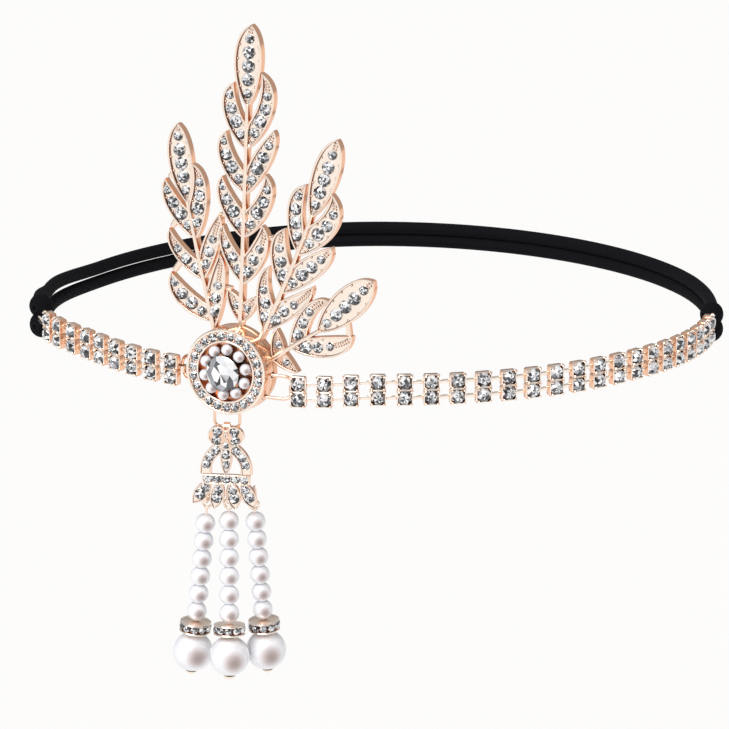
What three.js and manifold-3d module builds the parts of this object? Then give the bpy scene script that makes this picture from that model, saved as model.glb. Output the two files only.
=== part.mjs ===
// A dress headband: a cup chain with two rows of round stones, closed at the back by two elastic
// strands, with a round medallion off centre, a spray of pierced leaves standing behind it and a
// drop with three strands of pearls hanging below it.
//
// Millimetres, +Z up. The origin is the centre of the loop at the height of the chain. The front of
// the headband faces -Y and +X is to its right as seen from the front. Angles round the loop are in
// degrees from the front, positive towards +X.

import * as THREE from 'three';
import { mergeVertices } from 'three/addons/utils/BufferGeometryUtils.js';
import Module from 'manifold-3d';

const wasm = await Module();
wasm.setup();

// Loop
const LOOP_RADIUS = 88;
const GAP = 0.3;
const KNOT_SPREAD = 5;

// How far joined pieces sink into each other, and how far a cutting body stands past what it cuts.
const SINK = 0.2;
const CUT_PAST = 1.0;

// Where the loop leaves a level circle: rise and reach are shares of LOOP_RADIUS, and spread is the
// distance between the middles of the two elastic strands as a share of KNOT_SPREAD.
const LOOP_ROUTE = [
  { angle: -180, rise: 0.0011, reach: 1, spread: 0.7 },
  { angle: -120, rise: -0.0148, reach: 1, spread: 0.78 },
  { angle: -95, rise: 0.0045, reach: 1.005, spread: 0.98 },
  { angle: -84, rise: 0.0216, reach: 1.022, spread: 1 },
  { angle: -70, rise: 0.0216, reach: 1.028, spread: 1 },
  { angle: -57, rise: 0.017, reach: 1, spread: 1 },
  { angle: -36, rise: 0.0108, reach: 1, spread: 1 },
  { angle: -13, rise: -0.0125, reach: 1, spread: 0.8 },
  { angle: 0, rise: 0, reach: 1, spread: 0.8 },
  { angle: 40, rise: -0.0045, reach: 1, spread: 0.8 },
  { angle: 78, rise: -0.0159, reach: 1, spread: 0.8 },
  { angle: 110, rise: -0.0091, reach: 1, spread: 0.7 },
  { angle: 180, rise: 0.0011, reach: 1, spread: 0.7 },
];

// Cup chain
const CUP_SIZE = 4.0;
const CUP_DEPTH = 2.6;
const ROW_PITCH = 3.9;
const CHAIN_PITCH = 6.6;
const STRIP_HEIGHT = 1.0;
const STRIP_THICKNESS = 0.5;
const STRIP_SINK = 0.5;
const CHAIN_STONE = 3.7;
const CHAIN_CROWN = 0.9;

// first is the angle of the first pair. knotReach is the way along the loop from the last pair to
// the middle of the knot.
const RIGHT_CHAIN = { first: -13.1, pairs: 22, way: 1, knotReach: 9.0 };
const LEFT_CHAIN = { first: -36.05, pairs: 9, way: -1, knotReach: 13.3 };

// Eye behind the first pair of a chain
const EYE_BORE = 1.0;
const EYE_WALL = 0.4;
const EYE_HEIGHT = 1.6;
const EYE_OUT = 1.0;

// Elastic
const ELASTIC_DIAMETER = 3.2;
const ELASTIC_STEPS = 24;
const ELASTIC_SIDES = 6;
const KNOT_THICKNESS = 6.4;
const KNOT_LENGTH = 6.6;
const KNOT_LOBE_HEIGHT = 7.0;
const TAB_HEIGHT = 2.0;

// Medallion
const MEDALLION_ANGLE = -25;
const MEDALLION_RISE = 2.9;
const MEDALLION_ROLL = 5.5;
const HOUSING_DIAMETER = 21.9;
const HOUSING_WALL = 1.3;
const HOUSING_DEPTH = 4.8;
const HOUSING_BACK = -2.5;
const FIELD_THICKNESS = 0.7;
const RIM_WIDTH = 0.75;
const RIM_RAISE = 0.35;
const INNER_RING_RADIUS = 7.75;
const INNER_RING_WALL = 0.55;
const INNER_RING_RAISE = 0.5;
const INNER_FLOOR_TOP = 0.55;
const INNER_FLOOR_THICKNESS = 0.6;
const WIRE_DEPTH = -0.75;
const HOUSING_SIDES = 28;
const PEARLS = 10;
const PEARL = 2.9;
const PEARL_CIRCLE = 5.75;
const CENTRE_STONE = 9.0;
const CENTRE_STONE_GIRDLE = 3.65;
const CENTRE_STONE_CROWN = 1.1;
const CENTRE_STONE_SIDES = 10;
const CENTRE_STONE_EDGE = 0.15;
const CENTRE_STONE_FOOT_SHARE = 0.6;
const CENTRE_STONE_TABLE_SHARE = 0.62;

// Wire rings between the medallion and the chains
const RING_WIRE = 0.9;
const RING_HEIGHT = 5.8;
const RING_CORNER = 2.8;
const RIGHT_RING_ANGLE = -22;
const LEFT_RING_ANGLE = 178;
const SLOT_CLEARANCE = 0.35;
const SLOT_FLOOR = 0.45;
const SLOT_WALLS = 4;
const SLOT_START = 0.13;

// Leaf spray. Stones and wells follow the rim: a stone leaves LEAF_STONE_FIT rims of the width, and a
// well needs LEAF_WELL_LEAST of them. The first and last stones are shares of the leaf's length. The
// leaf that ends a stem starts END_LEAF_SINK before the stem's end.
const SPRAY_HEIGHT = 86.8;
const SPRAY_ROLL = 3;
const SPRAY_THICKNESS = 2.1;
const SPRAY_DISC = 22;
const LEAF_RIM = 0.6;
const LEAF_RECESS = 0.6;
const STEM_WIDTH = 1.25;
const STEM_RAISE = 0.3;
const LEAF_STATIONS = 5;
const LEAF_STONE = 3.1;
const LEAF_STONE_RAISE = 0.35;
const FINEST_LEAF_STONE = 2.8;
const LEAF_STONE_PITCH = 1.04;
const LEAF_STONE_FIT = 2.3;
const LEAF_WELL_LEAST = 2.8;
const FIRST_STONE_SHARE = { end: 0.19, side: 0.27 };
const LAST_STONE_SHARE = 0.92;
const STEM_STEPS = 5;
const BRIDGE_WIDTH = 1.3;
const END_LEAF_SINK = 0.9;

// Stems of the spray. The points are shares of SPRAY_HEIGHT from the medallion's centre.
const STEMS = {
  left: { from: [-0.067, 0.09], bend: [-0.122, 0.278], to: [-0.172, 0.467] },
  middle: { from: [0.012, 0.112], bend: [0.011, 0.441], to: [0.006, 0.771] },
  right: { from: [0.073, 0.086], bend: [0.158, 0.279], to: [0.222, 0.48] },
  low: { from: [0.108, 0.035], bend: [0.182, 0.097], to: [0.262, 0.151] },
};

// Leaves along a stem. base and seat are shares of the stem, where the leaf's outer edge leaves it
// and where its inner edge comes back to it. tip is in shares of SPRAY_HEIGHT. belly and bow are
// shares of the leaf's own length: how far the outer edge swells and the inner edge hollows.
const LEAVES = [
  { stem: 'middle', base: 0.8, seat: 0.91, tip: [-0.039, 0.83], belly: 0.262, bow: 0.049, stones: 4 },
  { stem: 'middle', base: 0.8, seat: 0.91, tip: [0.044, 0.866], belly: 0.25, bow: 0.072, stones: 4 },
  { stem: 'middle', base: 0.61, seat: 0.7, tip: [-0.057, 0.687], belly: 0.262, bow: 0.056, stones: 4 },
  { stem: 'middle', base: 0.6, seat: 0.71, tip: [0.091, 0.707], belly: 0.14, bow: -0.04, stones: 4 },
  { stem: 'middle', base: 0.41, seat: 0.53, tip: [-0.064, 0.555], belly: 0.2, bow: 0.03, stones: 4 },
  { stem: 'middle', base: 0.41, seat: 0.53, tip: [0.071, 0.577], belly: 0.225, bow: 0.052, stones: 4 },
  { stem: 'middle', base: 0.21, seat: 0.32, tip: [-0.055, 0.413], belly: 0.18, bow: 0.035, stones: 3 },
  { stem: 'middle', base: 0.2, seat: 0.33, tip: [0.067, 0.428], belly: 0.215, bow: 0.02, stones: 3 },
  { stem: 'middle', base: 0.03, seat: 0.14, tip: [-0.031, 0.228], belly: 0.15, bow: -0.02, stones: 1 },
  { stem: 'middle', base: 0.03, seat: 0.12, tip: [0.056, 0.218], belly: 0.17, bow: -0.03, stones: 1 },
  { stem: 'left', base: 0.71, seat: 0.92, tip: [-0.245, 0.522], belly: 0.2, bow: 0.018, stones: 4 },
  { stem: 'left', base: 0.7, seat: 0.97, tip: [-0.164, 0.577], belly: 0.2, bow: 0.039, stones: 4 },
  { stem: 'left', base: 0.4, seat: 0.54, tip: [-0.226, 0.379], belly: 0.2, bow: 0.042, stones: 3 },
  { stem: 'left', base: 0.4, seat: 0.58, tip: [-0.07, 0.443], belly: 0.105, bow: -0.045, stones: 3 },
  { stem: 'left', base: 0.09, seat: 0.21, tip: [-0.215, 0.251], belly: 0.26, bow: 0.028, stones: 4 },
  { stem: 'left', base: 0.03, seat: 0.31, tip: [-0.064, 0.326], belly: 0.115, bow: -0.02, stones: 3 },
  { stem: 'right', base: 0.71, seat: 0.85, tip: [0.202, 0.566], belly: 0.25, bow: 0.042, stones: 4 },
  { stem: 'right', base: 0.69, seat: 0.92, tip: [0.28, 0.551], belly: 0.29, bow: 0.067, stones: 4 },
  { stem: 'right', base: 0.42, seat: 0.59, tip: [0.141, 0.43], belly: 0.245, bow: 0.032, stones: 3 },
  { stem: 'right', base: 0.39, seat: 0.6, tip: [0.287, 0.396], belly: 0.17, bow: -0.045, stones: 4 },
  { stem: 'right', base: 0.08, seat: 0.28, tip: [0.098, 0.315], belly: 0.175, bow: 0.057, stones: 3 },
  { stem: 'right', base: 0.09, seat: 0.33, tip: [0.234, 0.275], belly: 0.14, bow: 0, stones: 3 },
  { stem: 'low', base: 0.42, seat: 0.74, tip: [0.289, 0.239], belly: 0.24, bow: 0.075, stones: 3 },
  { stem: 'low', base: 0.42, seat: 0.74, tip: [0.365, 0.149], belly: 0.24, bow: -0.01, stones: 3 },
  { stem: 'low', base: 0.06, seat: 0.33, tip: [0.128, 0.134], belly: 0.15, bow: -0.05, stones: 1 },
  { stem: 'low', base: 0.05, seat: 0.31, tip: [0.202, 0.018], belly: 0.13, bow: -0.03, stones: 1 },
];

// Leaves that end a stem, swollen on both sides: bellies are shares of the leaf's own length.
const END_LEAVES = [
  { stem: 'middle', tip: [0.007, 1], bellies: [0.205, 0.16], stones: 5 },
  { stem: 'left', tip: [-0.213, 0.687], bellies: [0.2, 0.135], stones: 5 },
  { stem: 'right', tip: [0.29, 0.708], bellies: [0.172, 0.165], stones: 5 },
  { stem: 'low', tip: [0.422, 0.318], bellies: [0.2, 0.2], stones: 5 },
];

// Short bars that tie one leaf to the next, from point to point in shares of SPRAY_HEIGHT.
const BRIDGES = [
  { from: [0.343, 0.189], to: [0.351, 0.147] },
  { from: [0.077, 0.39], to: [0.102, 0.395] },
  { from: [-0.07, 0.437], to: [-0.046, 0.446] },
  { from: [-0.05, 0.228], to: [-0.024, 0.226] },
  { from: [-0.21, 0.254], to: [-0.187, 0.29] },
  { from: [-0.222, 0.382], to: [-0.207, 0.41] },
  { from: [-0.235, 0.525], to: [-0.222, 0.547] },
];

// Drop link: a closed wire link from the medallion down to the drop
const LINK_WIRE = 0.8;
const LINK_WIDTH = 6.6;
const LINK_CORNER = 1.3;
const LINK_SHIFT = -1.05;
const LINK_SEAT = 0.76;
const LINK_LENGTH = 6.95;
const LINK_YAW = 8;

// Drop plate, in its own plane: the lower bar of the link is at the origin of its outline.
const DROP_YAW = 17;
const PLATE_BACK = 1.25;
const PLATE_THICKNESS = 1.5;
const PLATE_RECESS = 0.45;
const PLATE_RIM = 0.42;
const PLATE_BAR_WIDTH = 12.1;
const PLATE_BAR_TOP = -11.85;
const PLATE_BAR_HEIGHT = 2.4;
const LOBE_RADIUS = 2.55;
const LOBE_SPACING = 4.1;
const LOBE_DROP = -1.9;
const LOBE_SIDES = 12;
const PETAL_LENGTH = 7.4;
const PETAL_WIDTH = 3.7;
const MIDDLE_LEAF_TOP = -2.2;
const MIDDLE_LEAF_WIDTH = 3.0;
const ARCH_WIDTH = 2.9;
const ARCH_TOP = { out: 0.9, below: 2.2 };
const ARCH_FOOT = { inset: 0.9, sink: 0.2 };
const ARCH_BELLY = { inset: 0.6, raise: 1.0 };
const PETAL_SPREAD = 0.86;
const PETAL_SINK = 0.7;
const PETAL_FULLNESS = [0.25, 1.2, 0.75, 1.4];
const PETAL_STEPS = 4;
const MIDDLE_LEAF_SHIFT = 0.15;
const MIDDLE_LEAF_SINK = 0.3;
const WELL_LEAST = 2.6;
const PETALS = [
  { at: -0.375, lean: -38 },
  { at: -0.13, lean: -14 },
  { at: 0.13, lean: 8 },
  { at: 0.375, lean: 26 },
];
const BAIL_WIDTH = 1.6;
const BAIL_WALL = 0.45;

// Strands of the drop
const STRAND_SHIFT = 0.6;
const STRAND_TOP = -20;
const STRAND_SPREAD_TOP = 5.95;
const STRAND_SPREAD_FOOT = 9.3;
const STRAND_DEPTH_TOP = -0.25;
const STRAND_LEAN = 2.5;
const STRAND_NECK = 1.6;

// Where each strand hangs: top and foot are shares of the two spreads, forward is a share of the
// lean that brings the large pearls past each other, and neck is a share of the bare pin above the
// first pearl.
const STRANDS = [
  { name: 'left', top: -0.99, foot: -1.11, forward: -0.9, neck: 1 },
  { name: 'middle', top: -0.07, foot: 0, forward: 1.25, neck: 0.3 },
  { name: 'right', top: 1.01, foot: 0.89, forward: -1.35, neck: 0.38 },
];
const STRAND_PEARLS = 6;
const STRAND_PEARL = 5.0;
const STRAND_PITCH = 4.74;
const STRAND_EYE = 1.15;
const LUG_RADIUS = 2.2;
const STRAND_WIRE = 0.7;
const RONDELLE_DIAMETER = 8.0;
const RONDELLE_HEIGHT = 2.9;
const RONDELLE_FLANGE = 0.55;
const RONDELLE_WAIST_SHARE = 0.9;
const RONDELLE_FACE_SHARE = 0.85;
const DROP_PEARL = 10.2;
const CAP_DIAMETER = 3.0;
const CAP_HEIGHT = 0.8;
const CAP_CLEARANCE = 0.075;
const BORE_CLEARANCE = 0.25;

// Materials
const roseGold = new THREE.MeshStandardMaterial({ color: 0xe8b796, roughness: 0.22, metalness: 1.0 });
const crystal = new THREE.MeshStandardMaterial({ color: 0xdfe3e8, roughness: 0.05, metalness: 0.1 });
const pearl = new THREE.MeshStandardMaterial({ color: 0xf3efec, roughness: 0.25, metalness: 0.0 });
const elastic = new THREE.MeshStandardMaterial({ color: 0x17171b, roughness: 0.9, metalness: 0.0 });

// Solids
const headband = new THREE.Group();
const degrees = THREE.MathUtils.degToRad;
const STONE_CORNERS = 4;
const TABLE_SHARE = 0.66;
const WIRE_SIDES = 5;
const BEAD_SIDES = 10;
const BEAD_RINGS = 4;
const LARGE_BEAD_RINGS = 6;
const LINK_STEPS = 16;

function solid(geometry) {
  const bare = geometry.clone();
  bare.deleteAttribute('normal');
  bare.deleteAttribute('uv');
  const merged = mergeVertices(bare, 1e-4);
  const vertProperties = new Float32Array(merged.attributes.position.array);
  const triVerts = new Uint32Array(merged.index.array);
  return new wasm.Manifold(new wasm.Mesh({ numProp: 3, vertProperties, triVerts }));
}

function joined(pieces) {
  return pieces.reduce((whole, piece) => whole.add(piece));
}

function cut(body, tools) {
  return tools.reduce((rest, tool) => rest.subtract(tool), body);
}

function geometryOf(body) {
  const mesh = body.getMesh();
  const geometry = new THREE.BufferGeometry();
  const stride = mesh.numProp;
  const count = mesh.vertProperties.length / stride;
  const position = new Float32Array(count * 3);
  for (let i = 0; i < count; i += 1) {
    position.set(mesh.vertProperties.slice(i * stride, i * stride + 3), i * 3);
  }
  geometry.setAttribute('position', new THREE.BufferAttribute(position, 3));
  geometry.setIndex(new THREE.BufferAttribute(new Uint32Array(mesh.triVerts), 1));
  geometry.computeVertexNormals();
  return geometry;
}

function addPiece(parent, name, geometry, material) {
  const mesh = new THREE.Mesh(geometry, material);
  mesh.name = name;
  parent.add(mesh);
  return mesh;
}

function box(x, y, z, at) {
  return solid(new THREE.BoxGeometry(x, y, z).translate(at[0], at[1], at[2]));
}

// A disc or bore along Z, from low to high.
function round(radius, low, high, sides, at = [0, 0]) {
  const geometry = new THREE.CylinderGeometry(radius, radius, high - low, sides);
  geometry.rotateX(Math.PI / 2);
  return solid(geometry.translate(at[0], at[1], (low + high) / 2));
}

// A faceted stone seen from +Z: a square table turned an eighth against its square foot, so that
// eight facets run between them. The foot is sunk in the setting.
function stone(diameter, foot, top, at) {
  const table = diameter * TABLE_SHARE;
  const geometry = new THREE.CylinderGeometry(table / 2, diameter / 2, top - foot, STONE_CORNERS);
  const corners = geometry.attributes.position;
  const eighth = Math.PI / STONE_CORNERS;
  for (let i = 0; i < corners.count; i += 1) {
    const corner = new THREE.Vector3().fromBufferAttribute(corners, i);
    if (corner.y > 0) corner.applyAxisAngle(THREE.Object3D.DEFAULT_UP, eighth);
    corners.setXYZ(i, corner.x, corner.y, corner.z);
  }
  geometry.rotateX(Math.PI / 2);
  return geometry.translate(at[0], at[1], (foot + top) / 2);
}

function plate(outline, low, high) {
  const shape = new THREE.Shape(outline);
  const geometry = new THREE.ExtrudeGeometry(shape, { depth: high - low, bevelEnabled: false, steps: 1 });
  return solid(geometry.translate(0, 0, low));
}

// A closed wire link: a rounded rectangle in the XY plane, with its own corner radius at each end
// of X.
function wireLoop(width, height, nearCorner, farCorner, wire) {
  const x = width / 2;
  const y = height / 2;
  const corners = [
    [x, -y, farCorner],
    [x, y, farCorner],
    [-x, y, nearCorner],
    [-x, -y, nearCorner],
  ];
  const points = [];
  for (const [cx, cy, corner] of corners) {
    const centre = [cx - Math.sign(cx) * corner, cy - Math.sign(cy) * corner];
    const start = Math.atan2(Math.sign(cy), Math.sign(cx)) - Math.PI / 4;
    for (let i = 0; i < LINK_STEPS / 4; i += 1) {
      const angle = start + (Math.PI / 2) * (i / (LINK_STEPS / 4 - 1));
      const at = [centre[0] + corner * Math.cos(angle), centre[1] + corner * Math.sin(angle)];
      points.push(new THREE.Vector3(at[0], at[1], 0));
    }
  }
  const loop = new THREE.CatmullRomCurve3(points, true, 'centripetal');
  return new THREE.TubeGeometry(loop, LINK_STEPS, wire / 2, WIRE_SIDES, true);
}

// Loop route
function routeAt(angle) {
  const next = LOOP_ROUTE.findIndex((row) => row.angle >= angle);
  const high = LOOP_ROUTE[Math.max(next, 1)];
  const low = LOOP_ROUTE[Math.max(next, 1) - 1];
  const share = (angle - low.angle) / (high.angle - low.angle);
  const ease = share * share * (3 - 2 * share);
  const mix = (column) => low[column] + (high[column] - low[column]) * ease;
  return {
    rise: mix('rise') * LOOP_RADIUS,
    reach: mix('reach'),
    spread: mix('spread') * KNOT_SPREAD,
  };
}

// Moves a geometry made round its own origin, facing +Z with +Y up, to the loop at an angle.
function toLoop(geometry, angle, lift = 0) {
  const { rise, reach } = routeAt(angle);
  const turn = degrees(angle);
  const radius = LOOP_RADIUS * reach;
  geometry.rotateX(Math.PI / 2);
  geometry.rotateZ(turn);
  return geometry.translate(radius * Math.sin(turn), -radius * Math.cos(turn), rise + lift);
}

// Cup chain
function chainAngles({ first, pairs, way }) {
  const angles = [first];
  while (angles.length < pairs) {
    const last = angles[angles.length - 1];
    const radius = LOOP_RADIUS * routeAt(last).reach;
    angles.push(last + (way * THREE.MathUtils.radToDeg(CHAIN_PITCH)) / radius);
  }
  return angles;
}

function cupPair(angle) {
  const cups = new THREE.BoxGeometry(CUP_SIZE, CUP_SIZE + ROW_PITCH, CUP_DEPTH);
  const parts = [solid(toLoop(cups, angle))];
  for (const row of [-1, 1]) {
    const lift = (row * ROW_PITCH) / 2;
    const crown = stone(CHAIN_STONE, CUP_DEPTH / 4, CUP_DEPTH / 2 + CHAIN_CROWN, [0, 0]);
    crown.rotateZ(Math.PI / 4);
    parts.push(solid(toLoop(crown, angle, lift)));
  }
  return parts;
}

function strips(angle, nextAngle) {
  const middle = (angle + nextAngle) / 2;
  const length = CHAIN_PITCH - CUP_SIZE + 2 * STRIP_SINK;
  return [-1, 1].map((row) => {
    const strip = new THREE.BoxGeometry(length, STRIP_HEIGHT, STRIP_THICKNESS);
    return solid(toLoop(strip, middle, (row * ROW_PITCH) / 2));
  });
}

// The eye stands behind the first pair and EYE_OUT past the edge nearest the medallion. Its bore is
// upright.
const EYE_BACK = -CUP_DEPTH / 2 - EYE_BORE;
const EYE_SIDE = CUP_SIZE / 2 + EYE_OUT - EYE_BORE - EYE_WALL;

function chainEye(angle, way) {
  const outer = EYE_BORE + EYE_WALL;
  const body = new THREE.CylinderGeometry(outer, outer, EYE_HEIGHT, BEAD_SIDES);
  const bore = new THREE.CylinderGeometry(EYE_BORE, EYE_BORE, EYE_HEIGHT * 2, BEAD_SIDES);
  body.translate(-way * EYE_SIDE, 0, EYE_BACK);
  bore.translate(-way * EYE_SIDE, 0, EYE_BACK);
  return { body: solid(toLoop(body, angle)), bore: solid(toLoop(bore, angle)) };
}

function tab(angle, way, reachTo) {
  const radius = LOOP_RADIUS * routeAt(angle).reach;
  const length = Math.abs(degrees(reachTo - angle)) * radius - KNOT_LENGTH / 2 - GAP;
  const geometry = new THREE.BoxGeometry(length, TAB_HEIGHT, STRIP_THICKNESS * 2);
  geometry.translate((way * length) / 2, 0, 0);
  return solid(toLoop(geometry, angle));
}

function chain(name, spec, knotAt) {
  const angles = chainAngles(spec);
  const eye = chainEye(angles[0], spec.way);
  const parts = angles.flatMap(cupPair);
  for (let i = 1; i < angles.length; i += 1) {
    parts.push(...strips(angles[i - 1], angles[i]));
  }
  parts.push(eye.body);
  parts.push(tab(angles[angles.length - 1], spec.way, knotAt));
  addPiece(headband, name, geometryOf(cut(joined(parts), [eye.bore])), roseGold);
}

function knotAngle(spec) {
  const angles = chainAngles(spec);
  const last = angles[angles.length - 1];
  const radius = LOOP_RADIUS * routeAt(last).reach;
  return last + (spec.way * THREE.MathUtils.radToDeg(spec.knotReach)) / radius;
}

const KNOT_RIGHT_ANGLE = knotAngle(RIGHT_CHAIN);
const KNOT_LEFT_ANGLE = knotAngle(LEFT_CHAIN);

// Elastic
class StrandRoute extends THREE.Curve {
  constructor(row) {
    super();
    this.row = row;
  }

  getPoint(share) {
    const length = degrees(1) * LOOP_RADIUS;
    const from = KNOT_RIGHT_ANGLE + (KNOT_LENGTH / 2 + GAP) / length;
    const to = 360 + KNOT_LEFT_ANGLE - (KNOT_LENGTH / 2 + GAP) / length;
    const raw = from + (to - from) * share;
    const angle = raw > 180 ? raw - 360 : raw;
    const { rise, reach, spread } = routeAt(angle);
    const radius = LOOP_RADIUS * reach;
    const height = rise + (this.row * spread) / 2;
    return new THREE.Vector3(
      radius * Math.sin(degrees(angle)),
      -radius * Math.cos(degrees(angle)),
      height,
    );
  }
}

function elasticStrand(name, row) {
  const points = Array.from({ length: ELASTIC_SIDES }, (_, i) => {
    const angle = (2 * Math.PI * i) / ELASTIC_SIDES;
    return new THREE.Vector2(Math.cos(angle), Math.sin(angle)).multiplyScalar(ELASTIC_DIAMETER / 2);
  });
  const section = new THREE.Shape(points);
  const options = { steps: ELASTIC_STEPS, extrudePath: new StrandRoute(row), bevelEnabled: false };
  addPiece(headband, name, new THREE.ExtrudeGeometry(section, options), elastic);
}

// Two round lobes, one above the other, where the strands are tied through the end of the chain.
function knot(name, angle) {
  const { spread } = routeAt(angle);
  const lobes = [-1, 1].map((row) => {
    const lobe = new THREE.SphereGeometry(0.5, BEAD_SIDES, BEAD_RINGS);
    lobe.scale(KNOT_LENGTH, KNOT_LOBE_HEIGHT, KNOT_THICKNESS);
    return solid(toLoop(lobe, angle, (row * spread) / 2));
  });
  addPiece(headband, name, geometryOf(joined(lobes)), elastic);
}

chain('chain_right', RIGHT_CHAIN, KNOT_RIGHT_ANGLE);
chain('chain_left', LEFT_CHAIN, KNOT_LEFT_ANGLE);
elasticStrand('elastic_upper', 1);
elasticStrand('elastic_lower', -1);
knot('knot_right', KNOT_RIGHT_ANGLE);
knot('knot_left', KNOT_LEFT_ANGLE);

// Medallion: everything in this group faces +Z with +Y up, round the medallion's centre.
const medallion = new THREE.Group();
const medallionTurn = degrees(MEDALLION_ANGLE);
medallion.position.set(
  LOOP_RADIUS * Math.sin(medallionTurn),
  -LOOP_RADIUS * Math.cos(medallionTurn),
  MEDALLION_RISE,
);
medallion.rotation.set(Math.PI / 2, 0, medallionTurn, 'ZXY');
headband.add(medallion);

const HOUSING_RADIUS = HOUSING_DIAMETER / 2;
const HOUSING_FRONT = HOUSING_BACK + HOUSING_DEPTH;
const FIELD_TOP = HOUSING_FRONT - RIM_RAISE;
const FIELD_LOW = FIELD_TOP - FIELD_THICKNESS;
const HOLLOW_RADIUS = HOUSING_RADIUS - HOUSING_WALL;

// The link's upper bar lies LINK_SEAT inside the hollow's wall, measured at its outer leg.
const LINK_LEG = LINK_WIDTH / 2 + Math.abs(LINK_SHIFT);
const LINK_TOP = LINK_SEAT - Math.sqrt(HOLLOW_RADIUS ** 2 - LINK_LEG ** 2);

// The place of a chain's eye in the medallion's own frame.
function eyeInMedallion(spec) {
  const turn = degrees(spec.first - MEDALLION_ANGLE);
  const { rise, reach } = routeAt(spec.first);
  const radius = LOOP_RADIUS * reach + EYE_BACK;
  const side = -spec.way * EYE_SIDE;
  const x = radius * Math.sin(turn) + side * Math.cos(turn);
  const z = radius * Math.cos(turn) - side * Math.sin(turn) - LOOP_RADIUS;
  return new THREE.Vector3(x, rise - MEDALLION_RISE, z);
}

// A ring runs from a bar inside the medallion's hollow to the eye behind the first pair.
function ringPlace(spec, ringAngle) {
  const inner = HOLLOW_RADIUS - RING_WIRE / 2 - 2 * GAP;
  const lean = degrees(ringAngle);
  const depth = inner * Math.cos(Math.asin(RING_HEIGHT / 2 / HOLLOW_RADIUS));
  const start = new THREE.Vector3(depth * Math.cos(lean), depth * Math.sin(lean), WIRE_DEPTH);
  const end = eyeInMedallion(spec);
  return { start, end };
}

function ringFrame({ start, end }) {
  const along = end.clone().sub(start);
  const length = along.length();
  along.normalize();
  const up = new THREE.Vector3(0, 1, 0);
  up.addScaledVector(along, -up.dot(along)).normalize();
  const out = new THREE.Vector3().crossVectors(along, up);
  const frame = new THREE.Matrix4().makeBasis(along, up, out);
  frame.setPosition(start.clone().add(end).multiplyScalar(0.5));
  return { frame, length };
}

function ringSlots({ start, end }) {
  const { frame, length } = ringFrame({ start, end });
  const wide = RING_WIRE + 2 * SLOT_CLEARANCE;
  const long = HOUSING_WALL * SLOT_WALLS;
  return [-1, 1].map((row) => {
    const slot = new THREE.BoxGeometry(long, wide, wide);
    slot.translate((long - length) / 2 + SLOT_START, (row * RING_HEIGHT) / 2, 0);
    return solid(slot.applyMatrix4(frame));
  });
}

function linkSlots() {
  const wide = LINK_WIRE + 2 * SLOT_CLEARANCE;
  const low = HOUSING_BACK + SLOT_FLOOR;
  const deep = FIELD_LOW - low;
  const long = HOUSING_RADIUS + LINK_TOP;
  return [-1, 1].map((row) => {
    const x = LINK_SHIFT + (row * LINK_WIDTH) / 2;
    return box(wide, long + CUT_PAST, deep, [x, LINK_TOP - LINK_WIRE - long / 2, low + deep / 2]);
  });
}

function housing() {
  const ring = INNER_RING_RADIUS;
  const profile = [
    [0, INNER_FLOOR_TOP - INNER_FLOOR_THICKNESS],
    [ring, INNER_FLOOR_TOP - INNER_FLOOR_THICKNESS],
    [ring, FIELD_LOW],
    [HOLLOW_RADIUS, FIELD_LOW],
    [HOLLOW_RADIUS, HOUSING_BACK],
    [HOUSING_RADIUS, HOUSING_BACK],
    [HOUSING_RADIUS, HOUSING_FRONT],
    [HOUSING_RADIUS - RIM_WIDTH, HOUSING_FRONT],
    [HOUSING_RADIUS - RIM_WIDTH, FIELD_TOP],
    [ring + INNER_RING_WALL / 2, FIELD_TOP],
    [ring + INNER_RING_WALL / 2, FIELD_TOP + INNER_RING_RAISE],
    [ring - INNER_RING_WALL / 2, FIELD_TOP + INNER_RING_RAISE],
    [ring - INNER_RING_WALL / 2, INNER_FLOOR_TOP],
    [0, INNER_FLOOR_TOP],
  ];
  const points = profile.map(([radius, height]) => new THREE.Vector2(radius, height));
  const turned = new THREE.LatheGeometry(points, HOUSING_SIDES);
  turned.rotateX(Math.PI / 2);
  const slots = [
    ...ringSlots(ringPlace(RIGHT_CHAIN, RIGHT_RING_ANGLE)),
    ...ringSlots(ringPlace(LEFT_CHAIN, LEFT_RING_ANGLE)),
    ...linkSlots(),
  ];
  addPiece(medallion, 'medallion_housing', geometryOf(cut(solid(turned), slots)), roseGold);
}

function ring(name, spec, ringAngle) {
  const { frame, length } = ringFrame(ringPlace(spec, ringAngle));
  const geometry = wireLoop(length, RING_HEIGHT, RING_CORNER / 2, RING_CORNER, RING_WIRE);
  addPiece(medallion, name, geometry.applyMatrix4(frame), roseGold);
}

function medallionStones() {
  const foot = INNER_FLOOR_TOP + GAP;
  const girdle = CENTRE_STONE_GIRDLE;
  const top = girdle + CENTRE_STONE_CROWN;
  const radius = CENTRE_STONE / 2;
  const profile = [
    [0, foot],
    [radius * CENTRE_STONE_FOOT_SHARE, foot],
    [radius, girdle],
    [radius, girdle + CENTRE_STONE_EDGE],
    [radius * CENTRE_STONE_TABLE_SHARE, top],
    [0, top],
  ];
  const points = profile.map(([r, z]) => new THREE.Vector2(r, z));
  const cutStone = new THREE.LatheGeometry(points, CENTRE_STONE_SIDES).rotateX(Math.PI / 2);
  addPiece(medallion, 'centre_stone', cutStone, crystal);
  for (let i = 0; i < PEARLS; i += 1) {
    const angle = (2 * Math.PI * (i + 0.5)) / PEARLS - degrees(MEDALLION_ROLL);
    const bead = new THREE.SphereGeometry(PEARL / 2, BEAD_SIDES, BEAD_RINGS);
    const mesh = addPiece(medallion, `pearl_${i + 1}`, bead, pearl);
    mesh.position.set(
      PEARL_CIRCLE * Math.cos(angle),
      PEARL_CIRCLE * Math.sin(angle),
      INNER_FLOOR_TOP + GAP + PEARL / 2,
    );
  }
}

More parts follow.
